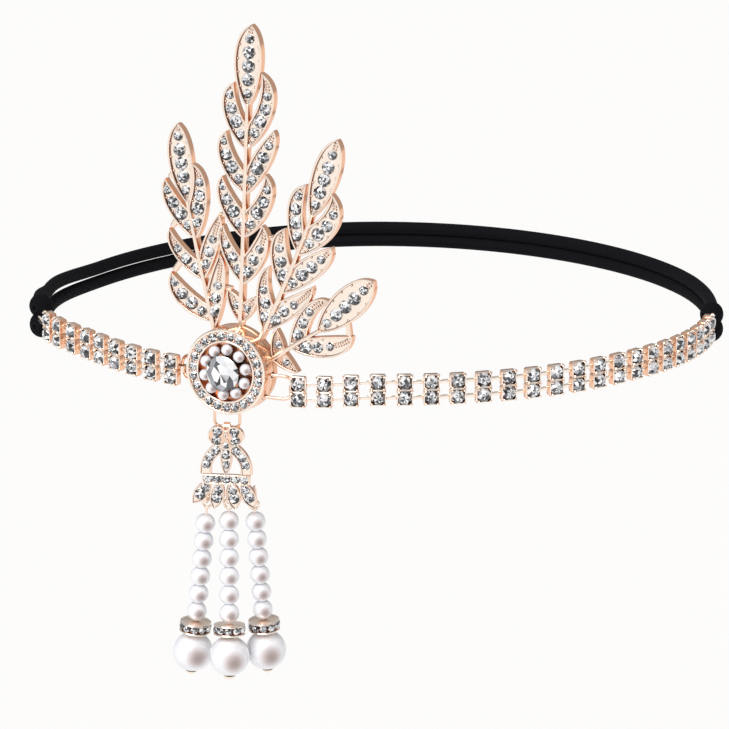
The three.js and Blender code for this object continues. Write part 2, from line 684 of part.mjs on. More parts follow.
housing();
medallionStones();
ring('ring_right', RIGHT_CHAIN, RIGHT_RING_ANGLE);
ring('ring_left', LEFT_CHAIN, LEFT_RING_ANGLE);

// Leaf spray: a flat casting behind the medallion, in the medallion's frame.
const SPRAY_FRONT = HOUSING_BACK - GAP;
const SPRAY_BACK = SPRAY_FRONT - SPRAY_THICKNESS;
const FLOOR = SPRAY_FRONT - LEAF_RECESS;

function spot([x, y]) {
  return new THREE.Vector2(x * SPRAY_HEIGHT, y * SPRAY_HEIGHT);
}

function stemCurve(name) {
  const { from, bend, to } = STEMS[name];
  return new THREE.QuadraticBezierCurve(spot(from), spot(bend), spot(to));
}

function ribbon(points, width, low, high) {
  const left = [];
  const right = [];
  points.forEach((point, i) => {
    const before = points[Math.max(i - 1, 0)];
    const after = points[Math.min(i + 1, points.length - 1)];
    const along = after.clone().sub(before).normalize();
    const side = new THREE.Vector2(-along.y, along.x).multiplyScalar(width / 2);
    left.push(point.clone().add(side));
    right.unshift(point.clone().sub(side));
  });
  return plate([...left, ...right], low, high);
}

// One edge of a leaf as a curve that leaves the chord from base to tip by the belly.
function bellyEdge(base, tip, belly, fullness) {
  const chord = tip.clone().sub(base);
  const out = new THREE.Vector2(-chord.y, chord.x).multiplyScalar(belly);
  const [near, nearOut, far, farOut] = fullness;
  const first = base.clone().addScaledVector(chord, near).addScaledVector(out, nearOut);
  const second = base.clone().addScaledVector(chord, far).addScaledVector(out, farOut);
  return new THREE.CubicBezierCurve(base, first, second, tip);
}

const SIDE_FULLNESS = [0.2, 0.98, 0.9, 1.65];
const END_FULLNESS = [0.2, 1.1, 0.85, 1.5];
const SEAT_STATION = 0.3;

// Both edges of a leaf at the same stations, from its base to its tip.
function leafEdges(leaf) {
  const stem = stemCurve(leaf.stem);
  const tip = spot(leaf.tip);
  const shares = Array.from({ length: LEAF_STATIONS + 1 }, (_, i) => i / LEAF_STATIONS);
  if (leaf.bellies) {
    const base = stem.getPoint(1 - END_LEAF_SINK / (2 * stem.v1.distanceTo(stem.v2)));
    const left = bellyEdge(base, tip, leaf.bellies[0], END_FULLNESS);
    const right = bellyEdge(base, tip, -leaf.bellies[1], END_FULLNESS);
    return { outer: shares.map((t) => left.getPoint(t)), inner: shares.map((t) => right.getPoint(t)) };
  }
  const base = stem.getPoint(leaf.base);
  const seat = stem.getPoint(leaf.seat);
  const chord = tip.clone().sub(base);
  const side = Math.sign(chord.cross(seat.clone().sub(base))) * -1;
  const outer = bellyEdge(base, tip, side * leaf.belly, SIDE_FULLNESS);
  const out = new THREE.Vector2(-chord.y, chord.x).multiplyScalar(side * leaf.bow * 2);
  const hollow = new THREE.QuadraticBezierCurve(seat, seat.clone().lerp(tip, 0.5).add(out), tip);
  const inner = shares.map((t) => {
    if (t < SEAT_STATION) return base.clone().lerp(seat, t / SEAT_STATION);
    return hollow.getPoint((t - SEAT_STATION) / (1 - SEAT_STATION));
  });
  return { outer: shares.map((t) => outer.getPoint(t)), inner };
}

function leafParts(leaf) {
  const { outer, inner } = leafEdges(leaf);
  const outline = [...outer, ...inner.slice(1, -1).reverse()];
  const well = { outer: [], inner: [] };
  for (let i = 1; i < LEAF_STATIONS; i += 1) {
    const across = inner[i].clone().sub(outer[i]);
    const width = across.length();
    if (width > LEAF_RIM * LEAF_WELL_LEAST) {
      across.normalize().multiplyScalar(LEAF_RIM);
      well.outer.push(outer[i].clone().add(across));
      well.inner.unshift(inner[i].clone().sub(across));
    }
  }
  return {
    body: plate(outline, SPRAY_BACK, SPRAY_FRONT),
    well: plate([...well.outer, ...well.inner], FLOOR, SPRAY_FRONT + CUT_PAST),
    stones: leafStones(leaf, outer, inner),
  };
}

function leafStones(leaf, outer, inner) {
  const middle = outer.map((point, i) => point.clone().lerp(inner[i], 0.5));
  const line = new THREE.SplineCurve(middle);
  const length = line.getLength();
  const pitch = LEAF_STONE * LEAF_STONE_PITCH;
  const start = leaf.bellies ? FIRST_STONE_SHARE.end : FIRST_STONE_SHARE.side;
  const stones = [];
  for (let i = 0; i < leaf.stones; i += 1) {
    const share = start + (i * pitch) / length;
    const at = line.getPointAt(Math.min(share, LAST_STONE_SHARE));
    const station = share * LEAF_STATIONS;
    const low = Math.floor(station);
    const widths = [low, low + 1].map((k) => {
      const index = Math.min(k, LEAF_STATIONS);
      return outer[index].distanceTo(inner[index]);
    });
    const width = widths[0] + (widths[1] - widths[0]) * (station - low);
    const diameter = Math.min(width - LEAF_RIM * LEAF_STONE_FIT, LEAF_STONE);
    if (diameter < FINEST_LEAF_STONE) continue;
    const top = SPRAY_FRONT + LEAF_STONE_RAISE;
    stones.push(solid(stone(diameter, FLOOR - SINK, top, [at.x, at.y])));
  }
  return stones;
}

function spray() {
  const leaves = [...LEAVES, ...END_LEAVES].map(leafParts);
  const stems = Object.keys(STEMS).map((name) => {
    const points = stemCurve(name).getPoints(STEM_STEPS);
    return ribbon(points, STEM_WIDTH, SPRAY_BACK, SPRAY_FRONT + STEM_RAISE);
  });
  const bridges = BRIDGES.map(({ from, to }) => {
    return ribbon([spot(from), spot(to)], BRIDGE_WIDTH, SPRAY_BACK, FLOOR);
  });
  const disc = round(SPRAY_DISC / 2, SPRAY_BACK, SPRAY_FRONT, HOUSING_SIDES);
  const bodies = joined(leaves.map((leaf) => leaf.body));
  const wells = joined(leaves.map((leaf) => leaf.well));
  const stones = leaves.flatMap((leaf) => leaf.stones);
  const rims = cut(bodies, [wells]);
  const whole = joined([rims, disc, ...stems, ...bridges, ...stones]);
  const mesh = addPiece(medallion, 'leaf_spray', geometryOf(whole), roseGold);
  mesh.rotation.z = -degrees(SPRAY_ROLL);
}

spray();

// Drop link
const drop = new THREE.Group();
drop.position.set(LINK_SHIFT, LINK_TOP, WIRE_DEPTH);
drop.rotation.y = degrees(LINK_YAW);
medallion.add(drop);
const link = wireLoop(LINK_WIDTH, LINK_LENGTH, LINK_CORNER, LINK_CORNER, LINK_WIRE);
link.translate(0, -LINK_LENGTH / 2, 0);
addPiece(drop, 'drop_link', link, roseGold);

// Drop plate
const hanging = new THREE.Group();
hanging.position.set(0, -LINK_LENGTH, 0);
hanging.rotation.y = degrees(DROP_YAW - LINK_YAW);
drop.add(hanging);
const PLATE_FRONT = PLATE_BACK + PLATE_THICKNESS;
const PLATE_FLOOR = PLATE_FRONT - PLATE_RECESS;
const BAR_LOW = PLATE_BAR_TOP - PLATE_BAR_HEIGHT;

// A pointed petal from base to tip, with its recess.
function petal(base, tip, width) {
  const edges = [1, -1].map((side) => {
    return bellyEdge(base, tip, (side * width) / 2 / base.distanceTo(tip), PETAL_FULLNESS);
  });
  const points = edges.map((edge) => edge.getPoints(PETAL_STEPS));
  const outline = [...points[0], ...points[1].slice(1, -1).reverse()];
  const inside = insetPair(points[0], points[1], PLATE_RIM);
  return {
    body: plate(outline, PLATE_BACK, PLATE_FRONT),
    well: plate(inside, PLATE_FLOOR, PLATE_FRONT + CUT_PAST),
  };
}

function insetPair(left, right, rim) {
  const near = [];
  const far = [];
  left.forEach((point, i) => {
    const across = right[i].clone().sub(point);
    if (across.length() < rim * WELL_LEAST) return;
    across.normalize().multiplyScalar(rim);
    near.push(point.clone().add(across));
    far.unshift(right[i].clone().sub(across));
  });
  return [...near, ...far];
}

function lobe(side) {
  const at = [(side * LOBE_SPACING) / 2, LOBE_DROP];
  return {
    body: round(LOBE_RADIUS, PLATE_BACK, PLATE_FRONT, LOBE_SIDES, at),
    well: round(LOBE_RADIUS - PLATE_RIM, PLATE_FLOOR, PLATE_FRONT + CUT_PAST, LOBE_SIDES, at),
  };
}

function arch(side) {
  const half = PLATE_BAR_WIDTH / 2;
  const top = new THREE.Vector2(side * ARCH_TOP.out, MIDDLE_LEAF_TOP - ARCH_TOP.below);
  const foot = new THREE.Vector2(side * (half - ARCH_FOOT.inset), PLATE_BAR_TOP + ARCH_FOOT.sink);
  const middle = (top.y + foot.y) / 2 + ARCH_BELLY.raise;
  const belly = new THREE.Vector2(side * (half - ARCH_BELLY.inset), middle);
  const points = new THREE.QuadraticBezierCurve(top, belly, foot).getPoints(PETAL_STEPS);
  return {
    body: ribbon(points, ARCH_WIDTH, PLATE_BACK, PLATE_FRONT),
    well: ribbon(points, ARCH_WIDTH - 2 * PLATE_RIM, PLATE_FLOOR, PLATE_FRONT + CUT_PAST),
  };
}

function crossBar() {
  const wellWide = PLATE_BAR_WIDTH - 2 * PLATE_RIM;
  const middle = PLATE_BAR_TOP - PLATE_BAR_HEIGHT / 2;
  const depth = (PLATE_BACK + PLATE_FRONT) / 2;
  return {
    body: box(PLATE_BAR_WIDTH, PLATE_BAR_HEIGHT, PLATE_THICKNESS, [0, middle, depth]),
    well: box(wellWide, PLATE_BAR_HEIGHT + CUT_PAST, 2 * CUT_PAST, [0, middle, PLATE_FLOOR + CUT_PAST]),
  };
}

function ringSolid(radius, wire, steps) {
  return new THREE.TorusGeometry(radius, wire / 2, WIRE_SIDES, steps);
}

// The bail is a short tube on the plate's back, round the link's lower bar.
function bail() {
  const bore = LINK_WIRE / 2 + SLOT_CLEARANCE;
  const outer = bore + BAIL_WALL;
  const tube = new THREE.CylinderGeometry(outer, outer, BAIL_WIDTH, LOBE_SIDES).rotateZ(Math.PI / 2);
  const seat = new THREE.BoxGeometry(BAIL_WIDTH, outer * 2, PLATE_BACK + SINK);
  seat.translate(0, 0, (PLATE_BACK + SINK) / 2);
  const hole = new THREE.CylinderGeometry(bore, bore, BAIL_WIDTH * 2, LOBE_SIDES).rotateZ(Math.PI / 2);
  const straight = -degrees(DROP_YAW - LINK_YAW);
  return {
    body: solid(tube).add(solid(seat)),
    hole: solid(hole.rotateY(straight)),
  };
}

function lug({ top }) {
  const geometry = ringSolid(LUG_RADIUS, STRAND_WIRE, BEAD_SIDES).rotateY(Math.PI / 2);
  const x = STRAND_SHIFT + top * STRAND_SPREAD_TOP;
  const y = STRAND_TOP + STRAND_EYE + LUG_RADIUS - STRAND_WIRE - BORE_CLEARANCE;
  return solid(geometry.translate(x, y, STRAND_DEPTH_TOP));
}

function dropPlate() {
  const petals = PETALS.map(({ at, lean }) => {
    const base = new THREE.Vector2(at * PLATE_BAR_WIDTH * PETAL_SPREAD, BAR_LOW + PETAL_SINK);
    const turn = degrees(lean);
    const reach = new THREE.Vector2(Math.sin(turn), -Math.cos(turn)).multiplyScalar(PETAL_LENGTH);
    return petal(base, base.clone().add(reach), PETAL_WIDTH);
  });
  const leafTop = new THREE.Vector2(MIDDLE_LEAF_SHIFT, MIDDLE_LEAF_TOP);
  const leafFoot = new THREE.Vector2(0, PLATE_BAR_TOP - MIDDLE_LEAF_SINK);
  const middleLeaf = petal(leafTop, leafFoot, MIDDLE_LEAF_WIDTH);
  const under = [lobe(-1), lobe(1), arch(-1), arch(1)];
  const over = [middleLeaf, crossBar(), ...petals];
  const { body, hole } = bail();
  const wellOf = (parts) => joined(parts.map((part) => part.well));
  const bodyOf = (parts) => joined(parts.map((part) => part.body));
  const low = bodyOf(under).subtract(wellOf(under));
  const high = bodyOf(over).subtract(wellOf(over));
  const whole = joined([low, high, body, ...STRANDS.map(lug)]);
  addPiece(hanging, 'drop_plate', geometryOf(whole.subtract(hole)), roseGold);
}

dropPlate();

// Strands: each hangs from an eye and ends in a rondelle, a large pearl and a cap on one pin.
const PIN_RADIUS = STRAND_WIRE / 2;
const BORE_RADIUS = PIN_RADIUS + BORE_CLEARANCE;

// Where the pieces of a strand lie below the middle of its eye.
function strandPlaces(neck) {
  const first = -(STRAND_EYE + PIN_RADIUS + neck * STRAND_NECK + STRAND_PITCH / 2);
  const last = first - (STRAND_PEARLS - 1) * STRAND_PITCH;
  const rondelle = last - STRAND_PITCH / 2 - GAP - RONDELLE_HEIGHT / 2;
  const dropPearl = rondelle - RONDELLE_HEIGHT / 2 - GAP - DROP_PEARL / 2;
  const cap = dropPearl - DROP_PEARL / 2 - CAP_CLEARANCE;
  return { first, rondelle, dropPearl, cap };
}

function strandGroup({ top, foot, forward }, length) {
  const group = new THREE.Group();
  const slant = Math.asin((foot * STRAND_SPREAD_FOOT - top * STRAND_SPREAD_TOP) / length);
  const lean = Math.asin((forward * STRAND_LEAN) / length);
  group.position.set(STRAND_SHIFT + top * STRAND_SPREAD_TOP, STRAND_TOP, STRAND_DEPTH_TOP);
  group.rotation.set(-lean, 0, slant, 'ZXY');
  hanging.add(group);
  return group;
}

function upright(geometry, at) {
  return geometry.translate(0, at, 0);
}

function bored(geometry, at) {
  const bore = new THREE.CylinderGeometry(BORE_RADIUS, BORE_RADIUS, DROP_PEARL * 2, BEAD_SIDES);
  return geometryOf(solid(upright(geometry, at)).subtract(solid(upright(bore, at))));
}

// The string of pearls and its pin are turned in one: each pearl is a round swelling of the pin.
function stringProfile({ first, cap }) {
  const profile = [[0, -STRAND_EYE], [PIN_RADIUS, -STRAND_EYE]];
  for (let i = 0; i < STRAND_PEARLS; i += 1) {
    const middle = first - i * STRAND_PITCH;
    for (let k = 0; k <= BEAD_RINGS; k += 1) {
      const turn = (Math.PI * k) / BEAD_RINGS;
      const radius = Math.max((STRAND_PEARL / 2) * Math.sin(turn), PIN_RADIUS);
      if (i === 0 || k > 0) profile.push([radius, middle + (STRAND_PITCH / 2) * Math.cos(turn)]);
    }
  }
  profile.push([PIN_RADIUS, cap + GAP], [0, cap + GAP]);
  return profile.reverse().map(([radius, height]) => new THREE.Vector2(radius, height));
}

function strand(spec) {
  const { name } = spec;
  const places = strandPlaces(spec.neck);
  const group = strandGroup(spec, -places.dropPearl);
  const eye = solid(ringSolid(STRAND_EYE, STRAND_WIRE, BEAD_SIDES));
  const string = solid(new THREE.LatheGeometry(stringProfile(places), BEAD_SIDES));
  addPiece(group, `strand_${name}`, geometryOf(eye.add(string)), pearl);
  const rondelle = new THREE.LatheGeometry(rondelleProfile(), LOBE_SIDES);
  addPiece(group, `rondelle_${name}`, bored(rondelle, places.rondelle), roseGold);
  const ball = new THREE.SphereGeometry(DROP_PEARL / 2, BEAD_SIDES, LARGE_BEAD_RINGS);
  addPiece(group, `drop_pearl_${name}`, bored(ball, places.dropPearl), pearl);
  const cap = new THREE.CylinderGeometry(CAP_DIAMETER / 2, CAP_DIAMETER / 3, CAP_HEIGHT, BEAD_SIDES);
  addPiece(group, `cap_${name}`, upright(cap, places.cap - CAP_HEIGHT / 2), roseGold);
}

function rondelleProfile() {
  const outer = RONDELLE_DIAMETER / 2;
  const waist = outer * RONDELLE_WAIST_SHARE;
  const face = outer * RONDELLE_FACE_SHARE;
  const half = RONDELLE_HEIGHT / 2;
  const profile = [
    [0, -half],
    [face, -half],
    [outer, -half + RONDELLE_FLANGE],
    [waist, -half + RONDELLE_FLANGE],
    [waist, half - RONDELLE_FLANGE],
    [outer, half - RONDELLE_FLANGE],
    [face, half],
    [0, half],
  ];
  return profile.map(([radius, height]) => new THREE.Vector2(radius, height));
}

STRANDS.forEach(strand);

export default headband;
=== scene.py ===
"""Looks of a dress headband: a cup chain of paired stones closed by an elastic, a round medallion,
a spray of pierced leaves and a drop with three strands of pearls.

Shapes are worked out in millimetres in the part's own frame and become metres when a mesh is made.
"""

import math
import random

import bpy
from mathutils import Matrix, Vector


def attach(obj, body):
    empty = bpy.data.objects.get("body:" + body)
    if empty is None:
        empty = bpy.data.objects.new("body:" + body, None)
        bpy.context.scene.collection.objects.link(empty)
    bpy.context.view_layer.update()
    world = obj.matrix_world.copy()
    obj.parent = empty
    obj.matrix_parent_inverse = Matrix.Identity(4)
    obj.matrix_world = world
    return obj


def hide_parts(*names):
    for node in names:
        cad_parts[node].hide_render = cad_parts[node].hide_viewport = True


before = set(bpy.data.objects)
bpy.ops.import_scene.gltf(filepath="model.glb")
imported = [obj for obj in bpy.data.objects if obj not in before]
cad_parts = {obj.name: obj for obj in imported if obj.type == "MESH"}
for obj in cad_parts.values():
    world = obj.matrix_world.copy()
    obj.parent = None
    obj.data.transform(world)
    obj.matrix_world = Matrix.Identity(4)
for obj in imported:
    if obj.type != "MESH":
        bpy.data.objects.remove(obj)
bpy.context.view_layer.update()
MM = 0.001
draw = random.Random(11)

# Camera
CAMERA_DISTANCE = 1200.0
CAMERA_ELEVATION = 13.5
PICTURE = 729.0
PICTURE_LENS = 4524.0
SENSOR = 36.0
ORIGIN_PIXEL = (379.3, 306.5)

# Loop, as in the part
LOOP_RADIUS = 88.0
GAP = 0.3
AXIS = 0.01
KNOT_SPREAD = 5.0
# Rise and reach are shares of the loop's radius, spread a share of the knots' spread.
ROUTE_COLUMNS = ("angle", "rise", "reach", "spread")
LOOP_ROUTE = [dict(zip(ROUTE_COLUMNS, row)) for row in (
    (-180, 0.0011, 1, 0.7),
    (-120, -0.0148, 1, 0.78),
    (-95, 0.0045, 1.005, 0.98),
    (-84, 0.0216, 1.022, 1),
    (-70, 0.0216, 1.028, 1),
    (-57, 0.017, 1, 1),
    (-36, 0.0108, 1, 1),
    (-13, -0.0125, 1, 0.8),
    (0, 0, 1, 0.8),
    (40, -0.0045, 1, 0.8),
    (78, -0.0159, 1, 0.8),
    (110, -0.0091, 1, 0.7),
    (180, 0.0011, 1, 0.7),
)]

# Cup chain
CUP_SIZE = 4.0
CUP_DEPTH = 2.6
ROW_PITCH = 3.9
CHAIN_PITCH = 6.6
STRIP_HEIGHT = 1.0
STRIP_THICKNESS = 0.5
CUP_FRONT = 0.78
CUP_WALL = 0.26
CUP_EDGE = 0.1
CLAW = 0.78
CLAW_SEAT = 0.41
CLAW_LEAN = 34
CLAW_STRETCH = 1.7
CLAW_RISE = 0.25
CHAIN_STONE = 3.6
CHAIN_CROWN = 1.15
CHAINS = {
    "chain_right": {"first": -13.1, "pairs": 22, "way": 1, "knot": "knot_right", "knot_reach": 9.0},
    "chain_left": {"first": -36.05, "pairs": 9, "way": -1, "knot": "knot_left", "knot_reach": 13.3},
}
EYE_BORE = 1.0
EYE_WALL = 0.4
EYE_HEIGHT = 1.6
EYE_OUT = 1.0
EYE_BACK = -CUP_DEPTH / 2 - EYE_BORE
EYE_SIDE = CUP_SIZE / 2 + EYE_OUT - EYE_BORE - EYE_WALL

# Elastic
ELASTIC_DIAMETER = 3.2
ELASTIC_STRETCH = 1.12
ELASTIC_STEPS = 110
KNOT_LENGTH = 6.6
KNOT_HEIGHTS = {"upper": 6.6, "lower": 6.9}
KNOT_DEPTH = 6.2
KNOT_WEAVE = 9
TAB_HEIGHT = 2.0

# Medallion
MEDALLION_ANGLE = -25.0
MEDALLION_RISE = 2.9
MEDALLION_ROLL = 5.5
HOUSING_RADIUS = 10.95
HOUSING_WALL = 1.3
HOUSING_DEPTH = 4.8
HOUSING_BACK = -2.5
HOUSING_FRONT = HOUSING_BACK + HOUSING_DEPTH
RIM_WIDTH = 0.75
RIM_RAISE = 0.35
FIELD_TOP = HOUSING_FRONT - RIM_RAISE
FIELD_LOW = FIELD_TOP - 0.7
INNER_RING = 7.75
INNER_RING_WALL = 0.55
INNER_RING_RAISE = 0.5
INNER_FLOOR = 0.55
INNER_FLOOR_THICKNESS = 0.6
HOLLOW_RADIUS = HOUSING_RADIUS - HOUSING_WALL
WIRE_DEPTH = -0.75
RIM_STONES = 23
RIM_STONE = 2.3
RIM_STONE_CIRCLE = 9.08
RIM_STONE_CROWN = 0.42
RIM_STONE_LIFT = 0.12
RIM_GRAINS = (-0.68, 0.72)
RIM_GRAIN_LIFT = 0.1
RIM_GRAIN_SIZE = 1.1
PEARLS = 10
PEARL = 2.9
PEARL_CIRCLE = 5.75
CENTRE_STONE = 9.0
CENTRE_GIRDLE = 3.65
CENTRE_FOOT_SHARE = 0.6
CENTRE_CROWN = 1.1
CENTRE_EDGE = 0.15
# Share of black facets, and the tones of the foot's facets: painted reflections.
CENTRE_DARK = 0.38
CENTRE_FOOT_TONES = (0.1, 0.5, 0.9)

# Wire rings
RING_WIRE = 0.9
RING_HEIGHT = 5.8
RING_CORNER = 2.8
RING_ANGLES = {"ring_right": -22.0, "ring_left": 178.0}
SLOT_CLEARANCE = 0.35
SLOT_FLOOR = 0.45
SLOT_START = 0.13

# Leaf spray
SPRAY_HEIGHT = 86.8
SPRAY_ROLL = 3.0
SPRAY_THICKNESS = 2.1
SPRAY_FRONT = HOUSING_BACK - GAP
SPRAY_BACK = SPRAY_FRONT - SPRAY_THICKNESS
SPRAY_DISC = 22.0
DISC_EDGE = 0.2
LEAF_RIM = 0.6
LEAF_RECESS = 0.6
LEAF_FLOOR = SPRAY_FRONT - LEAF_RECESS
STEM_WIDTH = 1.25
STEM_RAISE = 0.3
LEAF_STATIONS = 18
LEAF_STONES = {1: (2.0,), 3: (3.3, 2.9, 2.2), 4: (2.6, 3.4, 3.1, 2.3), 5: (2.4, 3.3, 3.4, 3.3, 2.4)}
LEAF_STONE_PITCH = 3.4
LEAST_STONE = 1.6
LEAF_STONE_LIFT = 0.28
FIRST_STONE = {"end": 0.17, "side": 0.23, "only": 0.5}
BRIDGE_WIDTH = 1.3
GRAIN = 0.52
GRAIN_SINK = 0.07
FINE_GRAIN = 0.85
CLOSE_GRAINS = 0.36
WIDE_GRAINS = 9.0
LEAF_GRAIN_LIFT = 0.08
TAIL_START = 0.4
TAIL_STEP = 0.75
TAIL_ROOM = LEAF_RIM * 2.5
HEAD_START = 0.3
HEAD_STEP = 0.8
HEAD_ROOM = LEAF_RIM * 2.4

# Each stem's foot, bend and end. Places in the spray are shares of its height.
STEMS = {
    "left": ((-0.067, 0.09), (-0.122, 0.278), (-0.172, 0.467)),
    "middle": ((0.012, 0.112), (0.011, 0.441), (0.006, 0.771)),
    "right": ((0.073, 0.086), (0.158, 0.279), (0.222, 0.48)),
    "low": ((0.108, 0.035), (0.182, 0.097), (0.262, 0.151)),
}

LEAF_COLUMNS = ("stem", "base", "seat", "tip", "belly", "bow", "stones")
LEAVES = [
    ("middle", 0.8, 0.91, (-0.039, 0.83), 0.262, 0.049, 4),
    ("middle", 0.8, 0.91, (0.044, 0.866), 0.25, 0.072, 4),
    ("middle", 0.61, 0.7, (-0.057, 0.687), 0.262, 0.056, 4),
    ("middle", 0.6, 0.71, (0.091, 0.707), 0.14, -0.04, 4),
    ("middle", 0.41, 0.53, (-0.064, 0.555), 0.2, 0.03, 4),
    ("middle", 0.41, 0.53, (0.071, 0.577), 0.225, 0.052, 4),
    ("middle", 0.21, 0.32, (-0.055, 0.413), 0.18, 0.035, 3),
    ("middle", 0.2, 0.33, (0.067, 0.428), 0.215, 0.02, 3),
    ("middle", 0.03, 0.14, (-0.031, 0.228), 0.15, -0.02, 1),
    ("middle", 0.03, 0.12, (0.056, 0.218), 0.17, -0.03, 1),
    ("left", 0.71, 0.92, (-0.245, 0.522), 0.2, 0.018, 4),
    ("left", 0.7, 0.97, (-0.164, 0.577), 0.2, 0.039, 4),
    ("left", 0.4, 0.54, (-0.226, 0.379), 0.2, 0.042, 3),
    ("left", 0.4, 0.58, (-0.07, 0.443), 0.105, -0.045, 3),
    ("left", 0.09, 0.21, (-0.215, 0.251), 0.26, 0.028, 4),
    ("left", 0.03, 0.31, (-0.064, 0.326), 0.115, -0.02, 3),
    ("right", 0.71, 0.85, (0.202, 0.566), 0.25, 0.042, 4),
    ("right", 0.69, 0.92, (0.28, 0.551), 0.29, 0.067, 4),
    ("right", 0.42, 0.59, (0.141, 0.43), 0.245, 0.032, 3),
    ("right", 0.39, 0.6, (0.287, 0.396), 0.17, -0.045, 4),
    ("right", 0.08, 0.28, (0.098, 0.315), 0.175, 0.057, 3),
    ("right", 0.09, 0.33, (0.234, 0.275), 0.14, 0, 3),
    ("low", 0.42, 0.74, (0.289, 0.239), 0.24, 0.075, 3),
    ("low", 0.42, 0.74, (0.365, 0.149), 0.24, -0.01, 3),
    ("low", 0.06, 0.33, (0.128, 0.134), 0.15, -0.05, 1),
    ("low", 0.05, 0.31, (0.202, 0.018), 0.13, -0.03, 1),
]
END_LEAF_COLUMNS = ("stem", "tip", "bellies", "stones")
END_LEAVES = [
    ("middle", (0.007, 1), (0.205, 0.16), 5),
    ("left", (-0.213, 0.687), (0.2, 0.135), 5),
    ("right", (0.29, 0.708), (0.172, 0.165), 5),
    ("low", (0.422, 0.318), (0.2, 0.2), 5),
]
BRIDGES = [
    ((0.343, 0.189), (0.351, 0.147)),
    ((0.077, 0.39), (0.102, 0.395)),
    ((-0.07, 0.437), (-0.046, 0.446)),
    ((-0.05, 0.228), (-0.024, 0.226)),
    ((-0.21, 0.254), (-0.187, 0.29)),
    ((-0.222, 0.382), (-0.207, 0.41)),
    ((-0.235, 0.525), (-0.222, 0.547)),
]
SIDE_FULLNESS = (0.2, 0.98, 0.9, 1.65)
END_FULLNESS = (0.2, 1.1, 0.85, 1.5)
SEAT_STATION = 0.3
END_LEAF_SINK = 0.9

# Drop link and plate
LINK_WIRE = 0.8
LINK_WIDTH = 6.6
LINK_CORNER = 1.3
LINK_SHIFT = -1.05
LINK_SEAT = 0.76
LINK_TOP = LINK_SEAT - math.sqrt(HOLLOW_RADIUS ** 2 - (LINK_WIDTH / 2 + abs(LINK_SHIFT)) ** 2)
LINK_LENGTH = 6.95
LINK_YAW = 8.0
DROP_YAW = 17.0
PLATE_BACK = 1.25
PLATE_FRONT = PLATE_BACK + 1.5
PLATE_FLOOR = PLATE_FRONT - 0.45
PLATE_RIM = 0.42
PLATE_BAR_WIDTH = 12.1
PLATE_BAR_TOP = -11.85
PLATE_BAR_HEIGHT = 2.4
LOBE_RADIUS = 2.55
LOBE_SPACING = 4.1
LOBE_DROP = -1.9
MIDDLE_LEAF_TOP = -2.2
MIDDLE_LEAF_WIDTH = 3.0
ARCH_WIDTH = 2.9
PETAL_LENGTH = 7.4
PETAL_WIDTH = 3.7
PETAL_SPREAD = 0.86
PETAL_SINK = 0.7
PETAL_FULLNESS = (0.25, 1.2, 0.75, 1.4)
# Place along the bar and lean in degrees
PETALS = ((-0.375, -38), (-0.13, -14), (0.13, 8), (0.375, 26))
BAIL_WIDTH = 1.6
BAIL_WALL = 0.45

# Strands of the drop
STRAND_SHIFT = 0.6
STRAND_TOP = -20.0
STRAND_SPREAD_TOP = 5.95
STRAND_SPREAD_FOOT = 9.3
STRAND_DEPTH_TOP = -0.25
STRAND_LEAN = 2.5
STRAND_NECK = 1.6
STRANDS = {
    "left": {"top": -0.99, "foot": -1.11, "forward": -0.9, "neck": 1},
    "middle": {"top": -0.07, "foot": 0, "forward": 1.25, "neck": 0.3},
    "right": {"top": 1.01, "foot": 0.89, "forward": -1.35, "neck": 0.38},
}
STRAND_PEARLS = 6
STRAND_PEARL = 5.05
STRAND_PITCH = 4.74
STRAND_EYE = 1.15
STRAND_WIRE = 0.7
LUG_RADIUS = 2.2
RONDELLE_DIAMETER = 8.0
RONDELLE_HEIGHT = 2.9
RONDELLE_FLANGE = 0.55
DROP_PEARL = 10.2
CAP_DIAMETER = 3.0
CAP_HEIGHT = 0.8
CAP_CLEARANCE = 0.075
BORE_CLEARANCE = 0.25

# Tones are painted light and shade, read by the materials: 1 is the polished face painted in full
# light, 0 the deep painted shade of a side wall. On stones a tone is a facet's painted reflection.
# Faces and recess floors are painted lit; walls, backs and wires are painted in shade, and the rims'
# inner walls carry a thin dark line of painted shade.
TONE_LIGHT = 0.85
TONE_FLOOR = 0.96
TONE_WALL = 0.34
TONE_EDGE = 0.05
TONE_BACK = 0.6
TONE_WIRE = 0.6


# Materials
# The middle of the pearls' painted reflection, a warm patch, in each object's own axes.
PEARL_PAINTED_REFLECTION = (0.28, -0.95, -0.11)


def new_material(name, settings):
    material = bpy.data.materials.new(name)
    material.use_nodes = True
    tree = material.node_tree
    shader = tree.nodes["Principled BSDF"]
    for key, value in settings.items():
        shader.inputs[key].default_value = value
    return material, tree, shader


def node(tree, kind, **settings):
    made = tree.nodes.new(kind)
    for key, value in settings.items():
        if key in made.inputs:
            made.inputs[key].default_value = value
        else:
            setattr(made, key, value)
    return made


def ramp(tree, source, stops):
    made = tree.nodes.new("ShaderNodeValToRGB")
    elements = made.color_ramp.elements
    elements[0].position, elements[0].color = stops[0][0], (*stops[0][1], 1)
    elements[1].position, elements[1].color = stops[-1][0], (*stops[-1][1], 1)
    for place, colour in stops[1:-1]:
        elements.new(place).color = (*colour, 1)
    tree.links.new(source, made.inputs["Fac"])
    return made.outputs["Color"]


def bump(tree, shader, height, strength, distance):
    made = node(tree, "ShaderNodeBump", Strength=strength, Distance=distance)
    tree.links.new(height, made.inputs["Height"])
    tree.links.new(made.outputs["Normal"], shader.inputs["Normal"])


def noise(tree, scale, detail=3.0):
    place = node(tree, "ShaderNodeTexCoord")
    made = node(tree, "ShaderNodeTexNoise", Scale=scale, Detail=detail)
    tree.links.new(place.outputs["Object"], made.inputs["Vector"])
    return made.outputs["Fac"]


